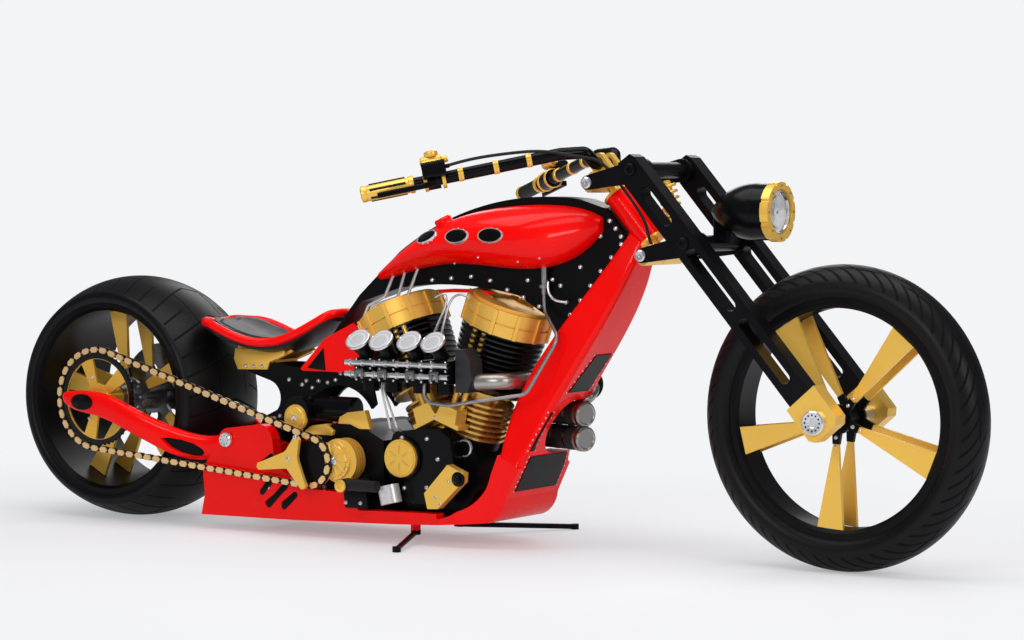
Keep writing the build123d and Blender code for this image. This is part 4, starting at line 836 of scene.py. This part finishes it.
# %% [markdown]
# ## Panels on the down tube
# The broad front face of the down tube carries black panels, each screwed down inside the red
# border. The face leans and bends, so a flat plate would stand off it. A strip is laid on it row by
# row with a ray, then given a thickness with the Solidify modifier.


# %% Down tube panels
def front_of(y, z):
    """The point of the down tube's front face at that height, seen from ahead."""
    hit, point, normal, _ = nodes["down_tube"].ray_cast(Vector((2, y, z)), Vector((-1, 0, 0)))
    return (point.copy(), normal.copy()) if hit else None


def face_reach(z):
    """The near and far y of the front face at that height, kept clear of its rounded edges."""
    hits = [i / 1000 for i in range(-140, 141, 2)
            if front_of(i / 1000, z) and front_of(i / 1000, z)[1].x > 0.5]
    return min(hits) + 0.004, max(hits) - 0.004


def panel(rows, columns=6):
    """A strip over rows of (height, near y, far y) that follows the face under it."""
    points, faces = [], []
    for z, near, far in rows:
        for step in range(columns + 1):
            spot = front_of(near + (far - near) * step / columns, z)
            points.append(spot[0] + spot[1] * 0.0004)
    for row in range(len(rows) - 1):
        for step in range(columns):
            a = row * (columns + 1) + step
            faces.append((a, a + 1, a + columns + 2, a + columns + 1))
    piece = skin(points, faces)
    if sum(face.normal.x for face in piece.data.polygons) < 0:
        piece.data.flip_normals()
    return modify(piece, "SOLIDIFY", thickness=0.0022, offset=1)


def rows_between(high, low, near, far, count=7):
    """Rows whose sides are shares of the face: 0 is its near edge and 1 its far edge."""
    rows = []
    for i in range(count + 1):
        z = high + (low - high) * i / count
        first, last = face_reach(z)
        a = near[0] + (near[1] - near[0]) * i / count
        b = far[0] + (far[1] - far[0]) * i / count
        rows.append((z, first + (last - first) * a, first + (last - first) * b))
    return rows


upper = rows_between(0.5, 0.405, (0.36, 0.16), (0.88, 0.78))
lower = rows_between(0.24, 0.15, (0.1, 0.1), (0.9, 0.9))
side_strip = rows_between(0.355, 0.256, (0.08, 0.08), (0.22, 0.3))
panels = [panel(rows) for rows in (upper, lower, side_strip)]
settle(panels, "down_tube_panels", "frame", BLACK, 60)
pins = []
for rows in (upper, lower, side_strip):
    for z, near, far in rows:
        for y in (near - 0.006, far + 0.006):
            spot = front_of(y, z)
            if spot and spot[1].x > 0.5:
                pins.append(facing(*spot))
settle(scatter(bolt(0.0022, 0.0016), pins), "panel_pins", "frame", STEEL)
print("panel pins", len(pins))

# %% [markdown]
# ## Ends of the exhausts
# Each wrapped pipe ends in a polished steel cup with two rolled beads. That is a lathe profile, set
# on the pipe's own line. A steel elbow joins the upper pipe to the round black horn above it.

# %% Exhaust cups and elbow
pipe_line = Vector((0.162, -0.052, 0)).normalized()
cup = mm((0, 3), (24, 3), (27, 6), (30, 5), (32.5, 1), (33.2, -2), (32, -5), (32.2, -12),
         (33.4, -14), (33.4, -17), (31.6, -19), (0, -19))
pipe_ends = [Vector((0.327, 0.04, z)) for z in (0.343, 0.28)]
cups = [turned(cup, end, pipe_line, 40) for end in pipe_ends]
settle(cups, "exhaust_cups", "frame", SATIN_STEEL)
elbow = pipe(mm((290, 60, 365), (322, 62, 378), (324, 90, 400), (312, 110, 408)), 0.013)
settle(elbow, "exhaust_elbow", "frame", SATIN_STEEL)
band = mm((30.8, 3), (31.8, 3), (31.8, -3), (30.8, -3), (30.8, 3))
bands = [turned(band, end - pipe_line * back, pipe_line, 40)
         for end in pipe_ends for back in (0.055, 0.105)]
settle(bands, "wrap_bands", "frame", DARK_STEEL)
print("exhaust ends", len(cups))

# %% [markdown]
# ## Hand controls
# The near side has a gold grip with black strips let into it, and each side has a gold cylinder with
# a lid. Three gold bands mark each half of the bars. Everything here sits on the line of the bar, so
# places are given as distances along it.


# %% Grips, bands and cylinders
def bar_line(side):
    start = Vector((-0.075, side * 0.37, 0.905))
    line = (Vector((0.334, side * 0.094, 1.006)) - start).normalized()
    return start, line


def along_bar(side, distance):
    start, line = bar_line(side)
    return start + line * distance


bands, grip_gold, strips, cylinders, clamps = [], [], [], [], []
for side in (-1, 1):
    start, line = bar_line(side)
    band = mm((16, 7), (17.6, 6), (17.6, 1), (16.8, 0), (17.6, -1), (17.6, -6), (16, -7),
              (16, 7))
    bands += [turned(band, along_bar(side, d), line, 36) for d in (0.25, 0.34, 0.424)]
    grip_gold.append(turned(mm((0, -6), (14, -6), (20.5, -3), (21.2, 4), (19.5, 10), (19, 10)),
                            start, line, 36))
    grip_gold.append(turned(mm((19, 118), (22.2, 119), (22.8, 124), (22.2, 130), (19, 131),
                               (19, 118)), start, line, 36))
    across = line.cross(Vector((0, 0, 1))).normalized()
    upright = across.cross(line).normalized()
    if side < 0:
        grip_gold.append(turned(mm((19, 10), (20.2, 12), (20.2, 116), (19, 118)), start, line, 36))
        for turn in range(6):
            angle = math.radians(60 * turn + 20)
            out = across * math.cos(angle) + upright * math.sin(angle)
            base = start + out * 0.0197 + line * 0.018
            strips.append(pipe([base, base + line * 0.04, base + line * 0.092], 0.0034, False))
    if upright.z < 0:
        upright = -upright
    centre = along_bar(side, 0.186) + upright * 0.04 - across * side * 0.004
    cylinders.append(turned(mm((0, 40), (7, 40), (9, 34), (9, 26), (15, 22), (15.5, -24),
                               (12, -30), (0, -32)),
                            centre + upright * 0.006, line, 32))
    cylinders.append(turned(mm((0, 10), (10, 10), (17, 7), (18, 0), (16, -6), (0, -6)),
                            centre + upright * 0.024, upright, 32))
    clamps += [turned(mm((24, 5), (26.2, 4), (26.2, -4), (24, -5), (24, 5)), along_bar(side, d),
                      line, 36) for d in (0.16, 0.206)]
settle(bands, "bar_bands", "steering", GOLD)
settle(grip_gold, "grip_collars", "steering", GOLD)
settle(strips, "grip_strips", "steering", RUBBER)
settle(cylinders, "hand_cylinders", "steering", GOLD)
settle(clamps, "control_clamps", "steering", GOLD)
print("bar bands", len(bands))

# %% [markdown]
# ## Girder fork
# Steel pins hold the links, gold rings close the crossbars, and a gold coil spring shows through
# the slot of each leg. The solids hold the spring as plain rings, so a true coil takes their place.


# %% Fork pins, rings and spring
SPRING_TURNS, TURN_STEPS, SPRING_RADIUS = 7, 12, 0.0225


def on_fork(u, y, w):
    return HEAD + FORK_FORWARD * u + FORK_UP * w + Vector((0, y, 0))


pin = mm((0, 0.6), (5, 0.6), (5.5, 4), (11, 4.5), (14.5, 2), (15, -2), (0, -2))
pins = [turned(pin, on_fork(0, side * 0.1115, w), (0, side, 0))
        for side in (-1, 1) for w in (0.196, -0.042)]
settle(pins, "link_pins", "steering", STEEL)
leg_pins = [turned(pin, touch(x, z, "fork_legs", "crossbars", side=side)[0], (0, side, 0))
            for side in (-1, 1) for x, z in ((0.58, 0.967), (0.728, 0.788))]
settle(leg_pins, "leg_pins", "steering", BLACK)
ring = mm((20, 5), (22.2, 4), (22.2, -3), (20, -4), (20, 5))
rings = [turned(ring, on_fork(0.137, side * 0.108, w), (0, side, 0))
         for w in (0.118, -0.12) for side in (-1, 1)]
settle(rings, "crossbar_rings", "steering", GOLD)
spring_foot = on_fork(0.068, 0, -0.034)
spring_top = on_fork(0.125, 0, 0.094)
spring_line = (spring_top - spring_foot).normalized()
sideways = Vector((0, 1, 0))
square = spring_line.cross(sideways).normalized()
reach = (spring_top - spring_foot).length - 0.026
coil_points = []
for step in range(SPRING_TURNS * TURN_STEPS + 1):
    angle = 2 * math.pi * step / TURN_STEPS
    height = 0.014 + reach * step / (SPRING_TURNS * TURN_STEPS)
    coil_points.append(spring_foot + spring_line * height
                       + (sideways * math.cos(angle) + square * math.sin(angle)) * SPRING_RADIUS)
coil = pipe(coil_points, 0.0042)
damper = turned(mm((0, 138), (13, 138), (14, 130), (14, 90), (9, 86), (9, 16), (26, 14),
                   (26, 4), (12, 0), (0, 0)),
                spring_foot, spring_line)
spring = settle([coil, damper], "fork_spring", "steering", GOLD)
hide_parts("shock")
axle_rings, hole_shade_spots = [], []
for side in (-1, 1):
    centre = touch(FRONT_AXLE.x + 0.0005, FRONT_AXLE.z, "front_axle", "axle_blocks", side=side)[0]
    axle_rings.append(turned(mm((0, 1), (10, 1), (12, 3), (26, 3.5), (29, 1), (29, -10),
                                (0, -10)),
                             centre, (0, side, 0), 40))
    # Black discs mark the ring of holes in each cap: painted shade where the holes are.
    hole_shade_spots += [facing(centre + Vector((along, side * 0.0032, up)), (0, side, 0))
             for along, up in circle(12, 0.0192)]
settle(axle_rings, "axle_caps", "steering", STEEL)
settle(scatter(turned(mm((0, 0.5), (2.4, 0.4), (2.8, -0.8), (0, -0.8)), steps=10),
               hole_shade_spots), "axle_cap_hole_shade", "steering", BLACK)
print("fork pieces: spring of", SPRING_TURNS, "turns,", len(hole_shade_spots), "holes")

# %% [markdown]
# ## Headlamp
# Behind the lens a bright bowl with a stepped rim surrounds a small bulb, and screws hold the ring.
# There is only a millimetre behind the lens, so the bowl is shallow and its depth comes from steps.

# %% Lamp bowl, bulb and ring screws
lamp = Vector((0.8936, 0, 0.8636))
bowl = turned(mm((5.5, 0.6), (20, 0.3), (21, 0.8), (36, 0.5), (37, 0.9), (53.8, 0.7),
                 (53.8, -0.2), (5.5, -0.2), (5.5, 0.6)),
              lamp - Vector((0.0078, 0, 0)), (1, 0, 0), 48)
settle(bowl, "lamp_bowl", "steering", STEEL)
bulb = turned(mm((0, 1.6), (4, 1.4), (5.2, 0.4), (0, 0.2)),
              lamp - Vector((0.0082, 0, 0)), (1, 0, 0), 24)
settle(bulb, "lamp_bulb", "steering", GAUZE)
ring_screws = [facing(lamp + Vector((0.0146, across, up)), (1, 0, 0))
               for across, up in circle(8, 0.064)]
settle(scatter(bolt(0.0028, 0.002), ring_screws), "lamp_screws", "steering", DARK_STEEL)
print("lamp screws", len(ring_screws))

# %% [markdown]
# ## Clutch hose
# The hose runs over the near half of the bars in one slow curve and down beside the head tube. The
# solid follows it with straight runs and arcs; a NURBS curve through the same places is smoother, and
# both stay clear of the bar.

# %% Smooth hose
hose_points = [Vector((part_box("bar_hose")[0][0], -0.276, 0.975)),
               Vector((0.15, -0.244, 0.992)), Vector((0.2386, -0.19, 1.008)),
               Vector((0.3116, -0.138, 1.015)), Vector((0.3906, -0.112, 1.0)),
               on_fork(0.052, -0.066, 0.225), on_fork(0.052, -0.066, 0.12),
               on_fork(0.048, -0.066, 0.03), on_fork(0.024, -0.06, -0.006),
               on_fork(0.02, -0.06, -0.024)]
hose = settle(pipe(hose_points, 0.004), "clutch_hose", "steering", RUBBER, 60)
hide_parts("bar_hose")
ferrule = turned(mm((0, 12), (4.8, 12), (5.5, 10), (5.5, -6), (0, -6)),
                 hose_points[0], bar_line(-1)[1], 20)
settle(ferrule, "hose_ferrule", "steering", BLACK_GLOSS)
print("hose starts at", tuple(round(v, 3) for v in hose_points[0]))

# %% [markdown]
# ## Swingarm windows and pivot
# A black oval is let into the outer face of each blade at the axle, and bright discs with a ring of
# small holes close the pivot, where a ray finds the face that carries them.

# %% Swingarm inlays and pivot discs
arm_ovals, pivot_discs, pivot_hole_shade_spots = [], [], []
for side in (-1, 1):
    arm_ovals.append(oval([(0, 0.0045), (0.9, 0.004), (1, 0.0022), (1, -0.006), (0, -0.006)],
                          REAR_AXLE + Vector((0, side * 0.25, -0.004)), (0, side, 0), 0.038, 0.022))
    centre = touch(PIVOT.x, PIVOT.z, "rear_axle", "cradle", side=side)[0]
    pivot_discs.append(turned(mm((0, 1.5), (6, 1.5), (6.5, 4), (16.5, 4.2), (19.5, 2),
                                 (19.5, -6), (0, -6)), centre, (0, side, 0)))
    # Black discs mark the small holes round each pivot disc: painted shade where the holes are.
    pivot_hole_shade_spots += [facing(centre + Vector((along, side * 0.0042, up)), (0, side, 0))
                  for along, up in circle(8, 0.0118)]
settle(arm_ovals, "arm_ovals", "frame", BLACK)
settle(pivot_discs, "pivot_discs", "frame", STEEL)
settle(scatter(turned(mm((0, 0.4), (1.6, 0.3), (1.8, -0.6), (0, -0.6)), steps=8),
               pivot_hole_shade_spots), "pivot_hole_shade", "frame", BLACK)
print("swingarm inlays", len(arm_ovals))

# %% [markdown]
# ## Swingarm blades
# Each blade is a soft bar that bows out round the tyre and droops toward the pivot. It is a row of
# rounded sections joined by faces, like ribs under a skin, then subdivided. An almond opening is cut
# through it with a boolean, and a dark web closes the middle of the opening.

# %% Blades
blade_ribs = mm((-1196.5, 236, 351, 343, 8), (-1188, 235, 358, 326, 22),
                (-1165, 233, 362, 313, 32), (-1130, 232, 364, 303, 36),
                (-1075, 232, 363.5, 296.5, 36), (-1019, 230, 351, 281, 36),
                (-965, 224, 326, 256, 36), (-920, 211, 304, 234, 36), (-870, 191, 281, 206, 36),
                (-825, 171, 263, 187, 34), (-780, 146, 250, 180, 30), (-740, 129, 248, 190, 26),
                (-700, 127, 262, 212, 25), (-668, 127, 268, 220, 25))
rib_steps = 20


def bow(x):
    """How far out the middle of a blade is."""
    for (x1, y1, *_), (x2, y2, *_) in zip(blade_ribs, blade_ribs[1:]):
        if x <= x2:
            return y1 + (y2 - y1) * (x - x1) / (x2 - x1)
    return blade_ribs[-1][1]


def soft_power(value, power):
    return math.copysign(abs(value) ** power, value)


def blade(side):
    points, faces = [], []
    for x, y, top, low, thick in blade_ribs:
        for step in range(rib_steps):
            angle = 2 * math.pi * step / rib_steps
            points.append((x, side * y + thick / 2 * soft_power(math.cos(angle), 0.6),
                           (top + low) / 2 + (top - low) / 2 * soft_power(math.sin(angle), 0.6)))
    for rib in range(len(blade_ribs) - 1):
        for step in range(rib_steps):
            a, b = rib * rib_steps + step, rib * rib_steps + (step + 1) % rib_steps
            faces.append((a, b, b + rib_steps, a + rib_steps))
    faces += [range(rib_steps), range(len(points) - rib_steps, len(points))]
    return modify(skin(points, faces), "SUBSURF", levels=1)


WEB = 0.006
almond = mm((-874, 243), (-850, 244), (-820, 239), (-790, 228), (-768, 213), (-764, 202),
            (-772, 194), (-795, 195), (-825, 204), (-852, 219))
blades, webs = [], []
for side in (-1, 1):
    arm = blade(side)
    cutter = plate(almond, -0.3 if side < 0 else 0.06, 0.24, 0.002)
    blades.append(modify(arm, "BOOLEAN", operation="DIFFERENCE", object=cutter))
    bpy.data.objects.remove(cutter)
    webs.append(slab([(x, side * bow(x) - WEB / 2, z) for x, z in almond], WEB))
tube = turned(mm((0, 128), (26, 128), (26, -128), (0, -128)), (PIVOT.x, 0, PIVOT.z),
              (0, -1, 0))
arms = settle([*blades, tube], "swingarm_blades", "frame", RED)
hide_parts("swingarm")
settle(webs, "blade_webs", "frame", BLACK)
print("blades", len(arms.data.polygons), "faces")

# %% [markdown]
# ## Slots, cheeks and small brackets
# The slanted slots of the rail are lined in black. Gold cheeks carry the saddle, a black block clamps
# each foot peg, and two gold brackets stand on the gearbox. These are flat plates with soft edges.
# The thin breather pipes are curves with a round section.


# %% Linings and brackets
def stadium(x, z, length, width, tilt):
    """Outline of a slot: its middle, its size and its tilt in degrees."""
    lean = math.radians(tilt)
    outline = []
    for end, first in ((1, -90), (-1, 90)):
        for step in range(7):
            turn = math.radians(first + step * 30)
            along = end * (length - width) / 2 + width / 2 * math.cos(turn)
            over = width / 2 * math.sin(turn)
            outline.append((x + along * math.cos(lean) - over * math.sin(lean),
                            z + along * math.sin(lean) + over * math.cos(lean)))
    return outline


breathers = [pipe(mm((-20, -130, 640), (-4, -130, 650), (12, -130, 647), (14, -130, 630),
                     (5, -130, 605), (-12, -130, 575), (-26, -130, 545)), 0.0032),
             pipe(mm((84, -130, 640), (66, -130, 651), (38, -130, 646), (22, -130, 626),
                     (10, -130, 592), (-2, -130, 548)), 0.0032),
             pipe(mm((276, -58, 684), (276, -62, 668), (287, -63, 645), (306, -62, 634),
                     (332, -56, 633)), 0.0034)]
settle(breathers, "breather_pipes", "frame", STEEL, 60)
linings, cheeks, blocks = [], [], []
for near_y in (-0.1612, 0.1598):
    for x, z, length, tilt in ((-0.546, 0.194, 0.056, 38), (-0.546, 0.128, 0.064, 50),
                               (-0.511, 0.105, 0.096, 44), (-0.47, 0.092, 0.066, 42)):
        linings.append(plate(stadium(x, z, length, 0.017, tilt), near_y, 0.0014, 0.0004))
for near_y in (-0.064, 0.058):
    cheeks.append(plate(mm((-733, 456), (-719, 427), (-618, 430), (-611, 450), (-560, 470),
                           (-560, 484), (-728, 484)), near_y, 0.006))
for near_y in (-0.172, 0.16):
    blocks.append(plate(mm((-285, 124), (-262, 141), (-212, 146), (-206, 88), (-281, 86)),
                        near_y, 0.012, 0.003))
settle(linings, "slot_linings", "frame", BLACK)
settle(cheeks, "saddle_cheeks", "frame", GOLD)
settle(blocks, "peg_blocks", "frame", BLACK)
block_a = plate(mm((-446, 268), (-441, 280), (-419, 292), (-377, 298), (-350, 281),
                   (-352, 268)), -0.128, 0.03, 0.002)
block_b = plate(mm((-337, 300), (-333, 318), (-307, 331), (-250, 339), (-233, 290), (-268, 289),
                   (-298, 300)), -0.124, 0.02, 0.002)
settle([block_a, block_b], "gearbox_brackets", "frame", GOLD)
heads = []
for side in (-1, 1):
    for x, y, z in ((-0.69, 0.064, 0.437), (-0.663, 0.064, 0.437), (-0.635, 0.064, 0.438),
                    (-0.276, 0.172, 0.1), (-0.229, 0.172, 0.101)):
        heads.append(facing((x, side * y, z), (0, side, 0)))
settle(scatter(bolt(0.0058, 0.004), heads), "bracket_screws", "frame", STEEL)
print("linings", len(linings), "bracket screws", len(heads))

# %% [markdown]
# ## Gearbox, starter and cam covers
# These are machined caps: a stepped disc with ribs that run out from a steel hub, and screws round
# the edge. The places round a circle give the direction of each rib and the spot of each screw.


# %% Machined caps
def ribbed_cap(name, x, z, radius, height, ribs, carriers, hub=0.3):
    centre, normal = touch(x, z, *carriers)
    centre = Vector((x, centre.y, z))
    cap = turned([(0, height), (radius * 0.78, height), (radius * 0.82, height * 0.7),
                  (radius * 0.96, height * 0.6), (radius, height * 0.2), (radius, -0.004),
                  (0, -0.004)], centre, (0, -1, 0), 48)
    parts = [cap]
    lift = Vector((0, -height, 0))
    for along, up in circle(ribs):
        out = Vector((along, 0, up))
        parts.append(pipe([centre + lift + out * radius * hub, centre + lift + out * radius * 0.55,
                           centre + lift * 0.8 + out * radius * 0.9], radius * 0.045, False))
    settle(parts, name, "frame", GOLD)
    screws = [facing(centre + Vector((along, -height * 0.66, up)), (0, -1, 0))
              for along, up in circle(ribs, radius * 0.89, math.pi / ribs)]
    settle(scatter(bolt(radius * 0.055, radius * 0.05), screws), name + "_screws", "frame", STEEL)
    knob = turned([(radius * share, height + lift) for share, lift in (
        (0, 0.006), (0.12, 0.006), (0.16, 0.002), (0.24, 0.001), (0.24, -0.003), (0, -0.003))],
                  centre, (0, -1, 0), 24)
    settle(knob, name + "_hub", "frame", STEEL)
    return centre


for cap in (("gearbox_cap", -0.317, 0.207, 0.052, 0.01, 10, ["gearbox_covers", "gearbox"]),
            ("starter_cap", -0.456, 0.312, 0.036, 0.009, 3,
             ["starter", "gearbox_covers", "gearbox"])):
    print(cap[0], "seated at y", round(ribbed_cap(*cap).y, 3))
pump = touch(0.074, 0.18, "billet_covers", "cam_cover", "crankcase")[0]
knob = turned(mm((0, 10), (8, 10), (11, 7), (11, 2), (19, 1), (19, -3), (0, -3)),
              pump, (0, -1, 0), 28)
settle(knob, "pump_knob", "frame", BLACK_GLOSS)
screw_rows("pump_screws", "frame", mm((20, 112), (46, 172), (62, 128), (4, 130)),
           ["billet_covers"], 0.0045, (-1,))
screw_rows("tappet_screws", "frame", mm((-93, 322), (-20, 332), (-20, 316), (50, 318)),
           ["billet_covers"], 0.0042, (-1,))
plug = touch(0.044, 0.252, "crankcase")[0]
ring = turned(mm((18.5, 2), (19, 4), (22.5, 3.5), (23, -2), (18.5, -2), (18.5, 2)),
              plug, (0, -1, 0), 36)
settle(ring, "case_plug_ring", "frame", STEEL)
disc = turned(mm((0, 3), (12, 2.8), (18.5, 2), (18.5, -2), (0, -2)), plug,
              (0, -1, 0), 36)
settle(disc, "case_plug", "frame", BLACK_GLOSS)
print("pump knob at", tuple(round(v, 3) for v in pump))

# %% [markdown]
# ## Foot pegs
# A gold cap closes each rubber peg. A ray along the peg's own line finds its end.

# %% Foot peg collars
for side, name in ((-1, "peg_cap_right"), (1, "peg_cap_left")):
    end = touch(-0.25, 0.15, "foot_pegs", side=side)[0]
    cap = turned(mm((0, 3), (8, 3), (9, 6), (16, 4), (17.5, -1), (17.5, -8), (15, -10),
                    (0, -10)), end, (0, side, 0), 28)
    settle(cap, name, "frame", GOLD)
    print(name, "at y", round(end.y, 3))

# %% [markdown]
# ## Wheel hubs
# The hub plates and the sprocket are held by rings of bright screws. The rays find the face under
# each screw, whatever its thickness, and a screw that would stand on a slanted face is left out.


# %% Hub screws
def hub_screws(name, body, centre, radius, count, carriers, size, start=0):
    """A ring of screws on each side of a wheel, from a start angle in degrees."""
    places = []
    for side in (-1, 1):
        for along, up in circle(count, radius, math.radians(start)):
            spot = touch(centre.x + along, centre.z + up, *carriers, side=side)
            if spot and spot[1].y * side > 0.6:
                places.append(facing(spot[0], (0, side, 0)))
    settle(scatter(bolt(size, size * 0.8), places), name, body, STEEL)
    print(name, len(places))


front, rear = ["front_hub", "front_spokes"], ["rear_hub", "rear_spokes"]
hub_screws("front_hub_screws", "front_wheel", FRONT_AXLE, 0.044, 10, front, 0.0052, 14)
hub_screws("front_blade_screws", "front_wheel", FRONT_AXLE, 0.066, 10, front, 0.004, 14)
hub_screws("rear_hub_screws", "rear_wheel", REAR_AXLE, 0.046, 10, rear, 0.005)
hub_screws("sprocket_screws", "rear_wheel", REAR_AXLE, 0.062, 8, ["rear_sprocket"], 0.0052, 16)

# %% [markdown]
# ## Saddle
# The pad is thin leather over foam. The solid gives its footprint, and cloth under a little pressure
# gives it the fullness that a solid lacks. The leather stops short of the nose, so the front is cut
# off with a bisect first. Then it is remeshed evenly, smoothed, shrunk a touch and blown up for
# twenty frames, and no point may move far. A red bead on a Bezier curve follows the pan's edge.


# %% Saddle pad
PAD_FRONT = -0.5
CLOTH_FRAMES = 20
PUFF = 0.005


def full_pad():
    pad = bpy.data.objects.new("pad", nodes["seat_pad"].data.copy())
    bpy.context.scene.collection.objects.link(pad)
    with editing(pad):
        bpy.ops.mesh.remove_doubles(threshold=0.00005)
        bpy.ops.mesh.bisect(plane_co=(PAD_FRONT, 0, 0), plane_no=(1, 0, 0), clear_outer=True,
                            use_fill=True)
    modify(pad, "REMESH", mode="VOXEL", voxel_size=0.005)
    bpy.ops.object.mode_set(mode="EDIT")
    bpy.ops.mesh.select_all(action="SELECT")
    bpy.ops.mesh.vertices_smooth(factor=0.5, repeat=10)
    bpy.ops.transform.shrink_fatten(value=-0.0022)
    bpy.ops.object.mode_set(mode="OBJECT")
    start = [v.co.copy() for v in pad.data.vertices]
    cloth = pad.modifiers.new("cloth", "CLOTH")
    cloth.settings.use_pressure = True
    cloth.settings.uniform_pressure_force = 4
    cloth.settings.effector_weights.gravity = 0
    for number in range(1, CLOTH_FRAMES + 1):
        bpy.context.scene.frame_set(number)
    bpy.ops.object.modifier_apply(modifier="cloth")
    bpy.context.scene.frame_set(1)
    for vertex, first in zip(pad.data.vertices, start):
        moved = vertex.co - first
        moved.z = max(moved.z, 0)
        if moved.length > PUFF:
            moved.length = PUFF
        vertex.co = first + moved
    return modify(pad, "SUBSURF", levels=1)


pad = settle(full_pad(), "saddle_pad", "frame", LEATHER, 60)
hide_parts("seat_pad")
BEAD_RADIUS = 0.012
BEAD_LIFT = Vector((0, 0, 0.005))
half_loop = mm((-832, 30, 547), (-828, 58, 551), (-806, 93, 549), (-770, 116, 545),
               (-728, 126, 532), (-680, 126, 515), (-634, 116, 503), (-590, 101, 501),
               (-545, 91, 510), (-495, 83, 531), (-450, 69, 557), (-418, 48, 578),
               (-409, 24, 581))
loop = half_loop + [(x, -y, z) for x, y, z in reversed(half_loop)]
bead = bpy.data.curves.new("bead", "CURVE")
bead.dimensions = "3D"
bead.bevel_depth = BEAD_RADIUS
bead.bevel_resolution = 5
run = bead.splines.new("BEZIER")
run.bezier_points.add(len(loop) - 1)
for knot, point in zip(run.bezier_points, loop):
    knot.co = Vector(point) + BEAD_LIFT
    knot.handle_left_type = "AUTO"
    knot.handle_right_type = "AUTO"
run.use_cyclic_u = True
rim = bpy.data.objects.new("rim", bead)
bpy.context.scene.collection.objects.link(rim)
pick(rim)
bpy.ops.object.convert(target="MESH")
settle(bpy.context.active_object, "saddle_bead", "frame", RED, 60)
tank_sides = [plate(mm((-464, 441), (-410, 497), (-403, 436)), near_y, 0.002)
              for near_y in (-0.0896, 0.0876)]
settle(tank_sides, "oil_tank_inlays", "frame", BLACK)
strip = plate(mm((-73, 656.5), (-28, 660), (27, 660), (83, 656), (104, 650), (83, 647.5),
                 (27, 650), (-28, 650), (-73, 647)), -0.039, 0.006)
settle(strip, "arch_strip", "frame", RED)
print("saddle", len(pad.data.polygons), "faces")
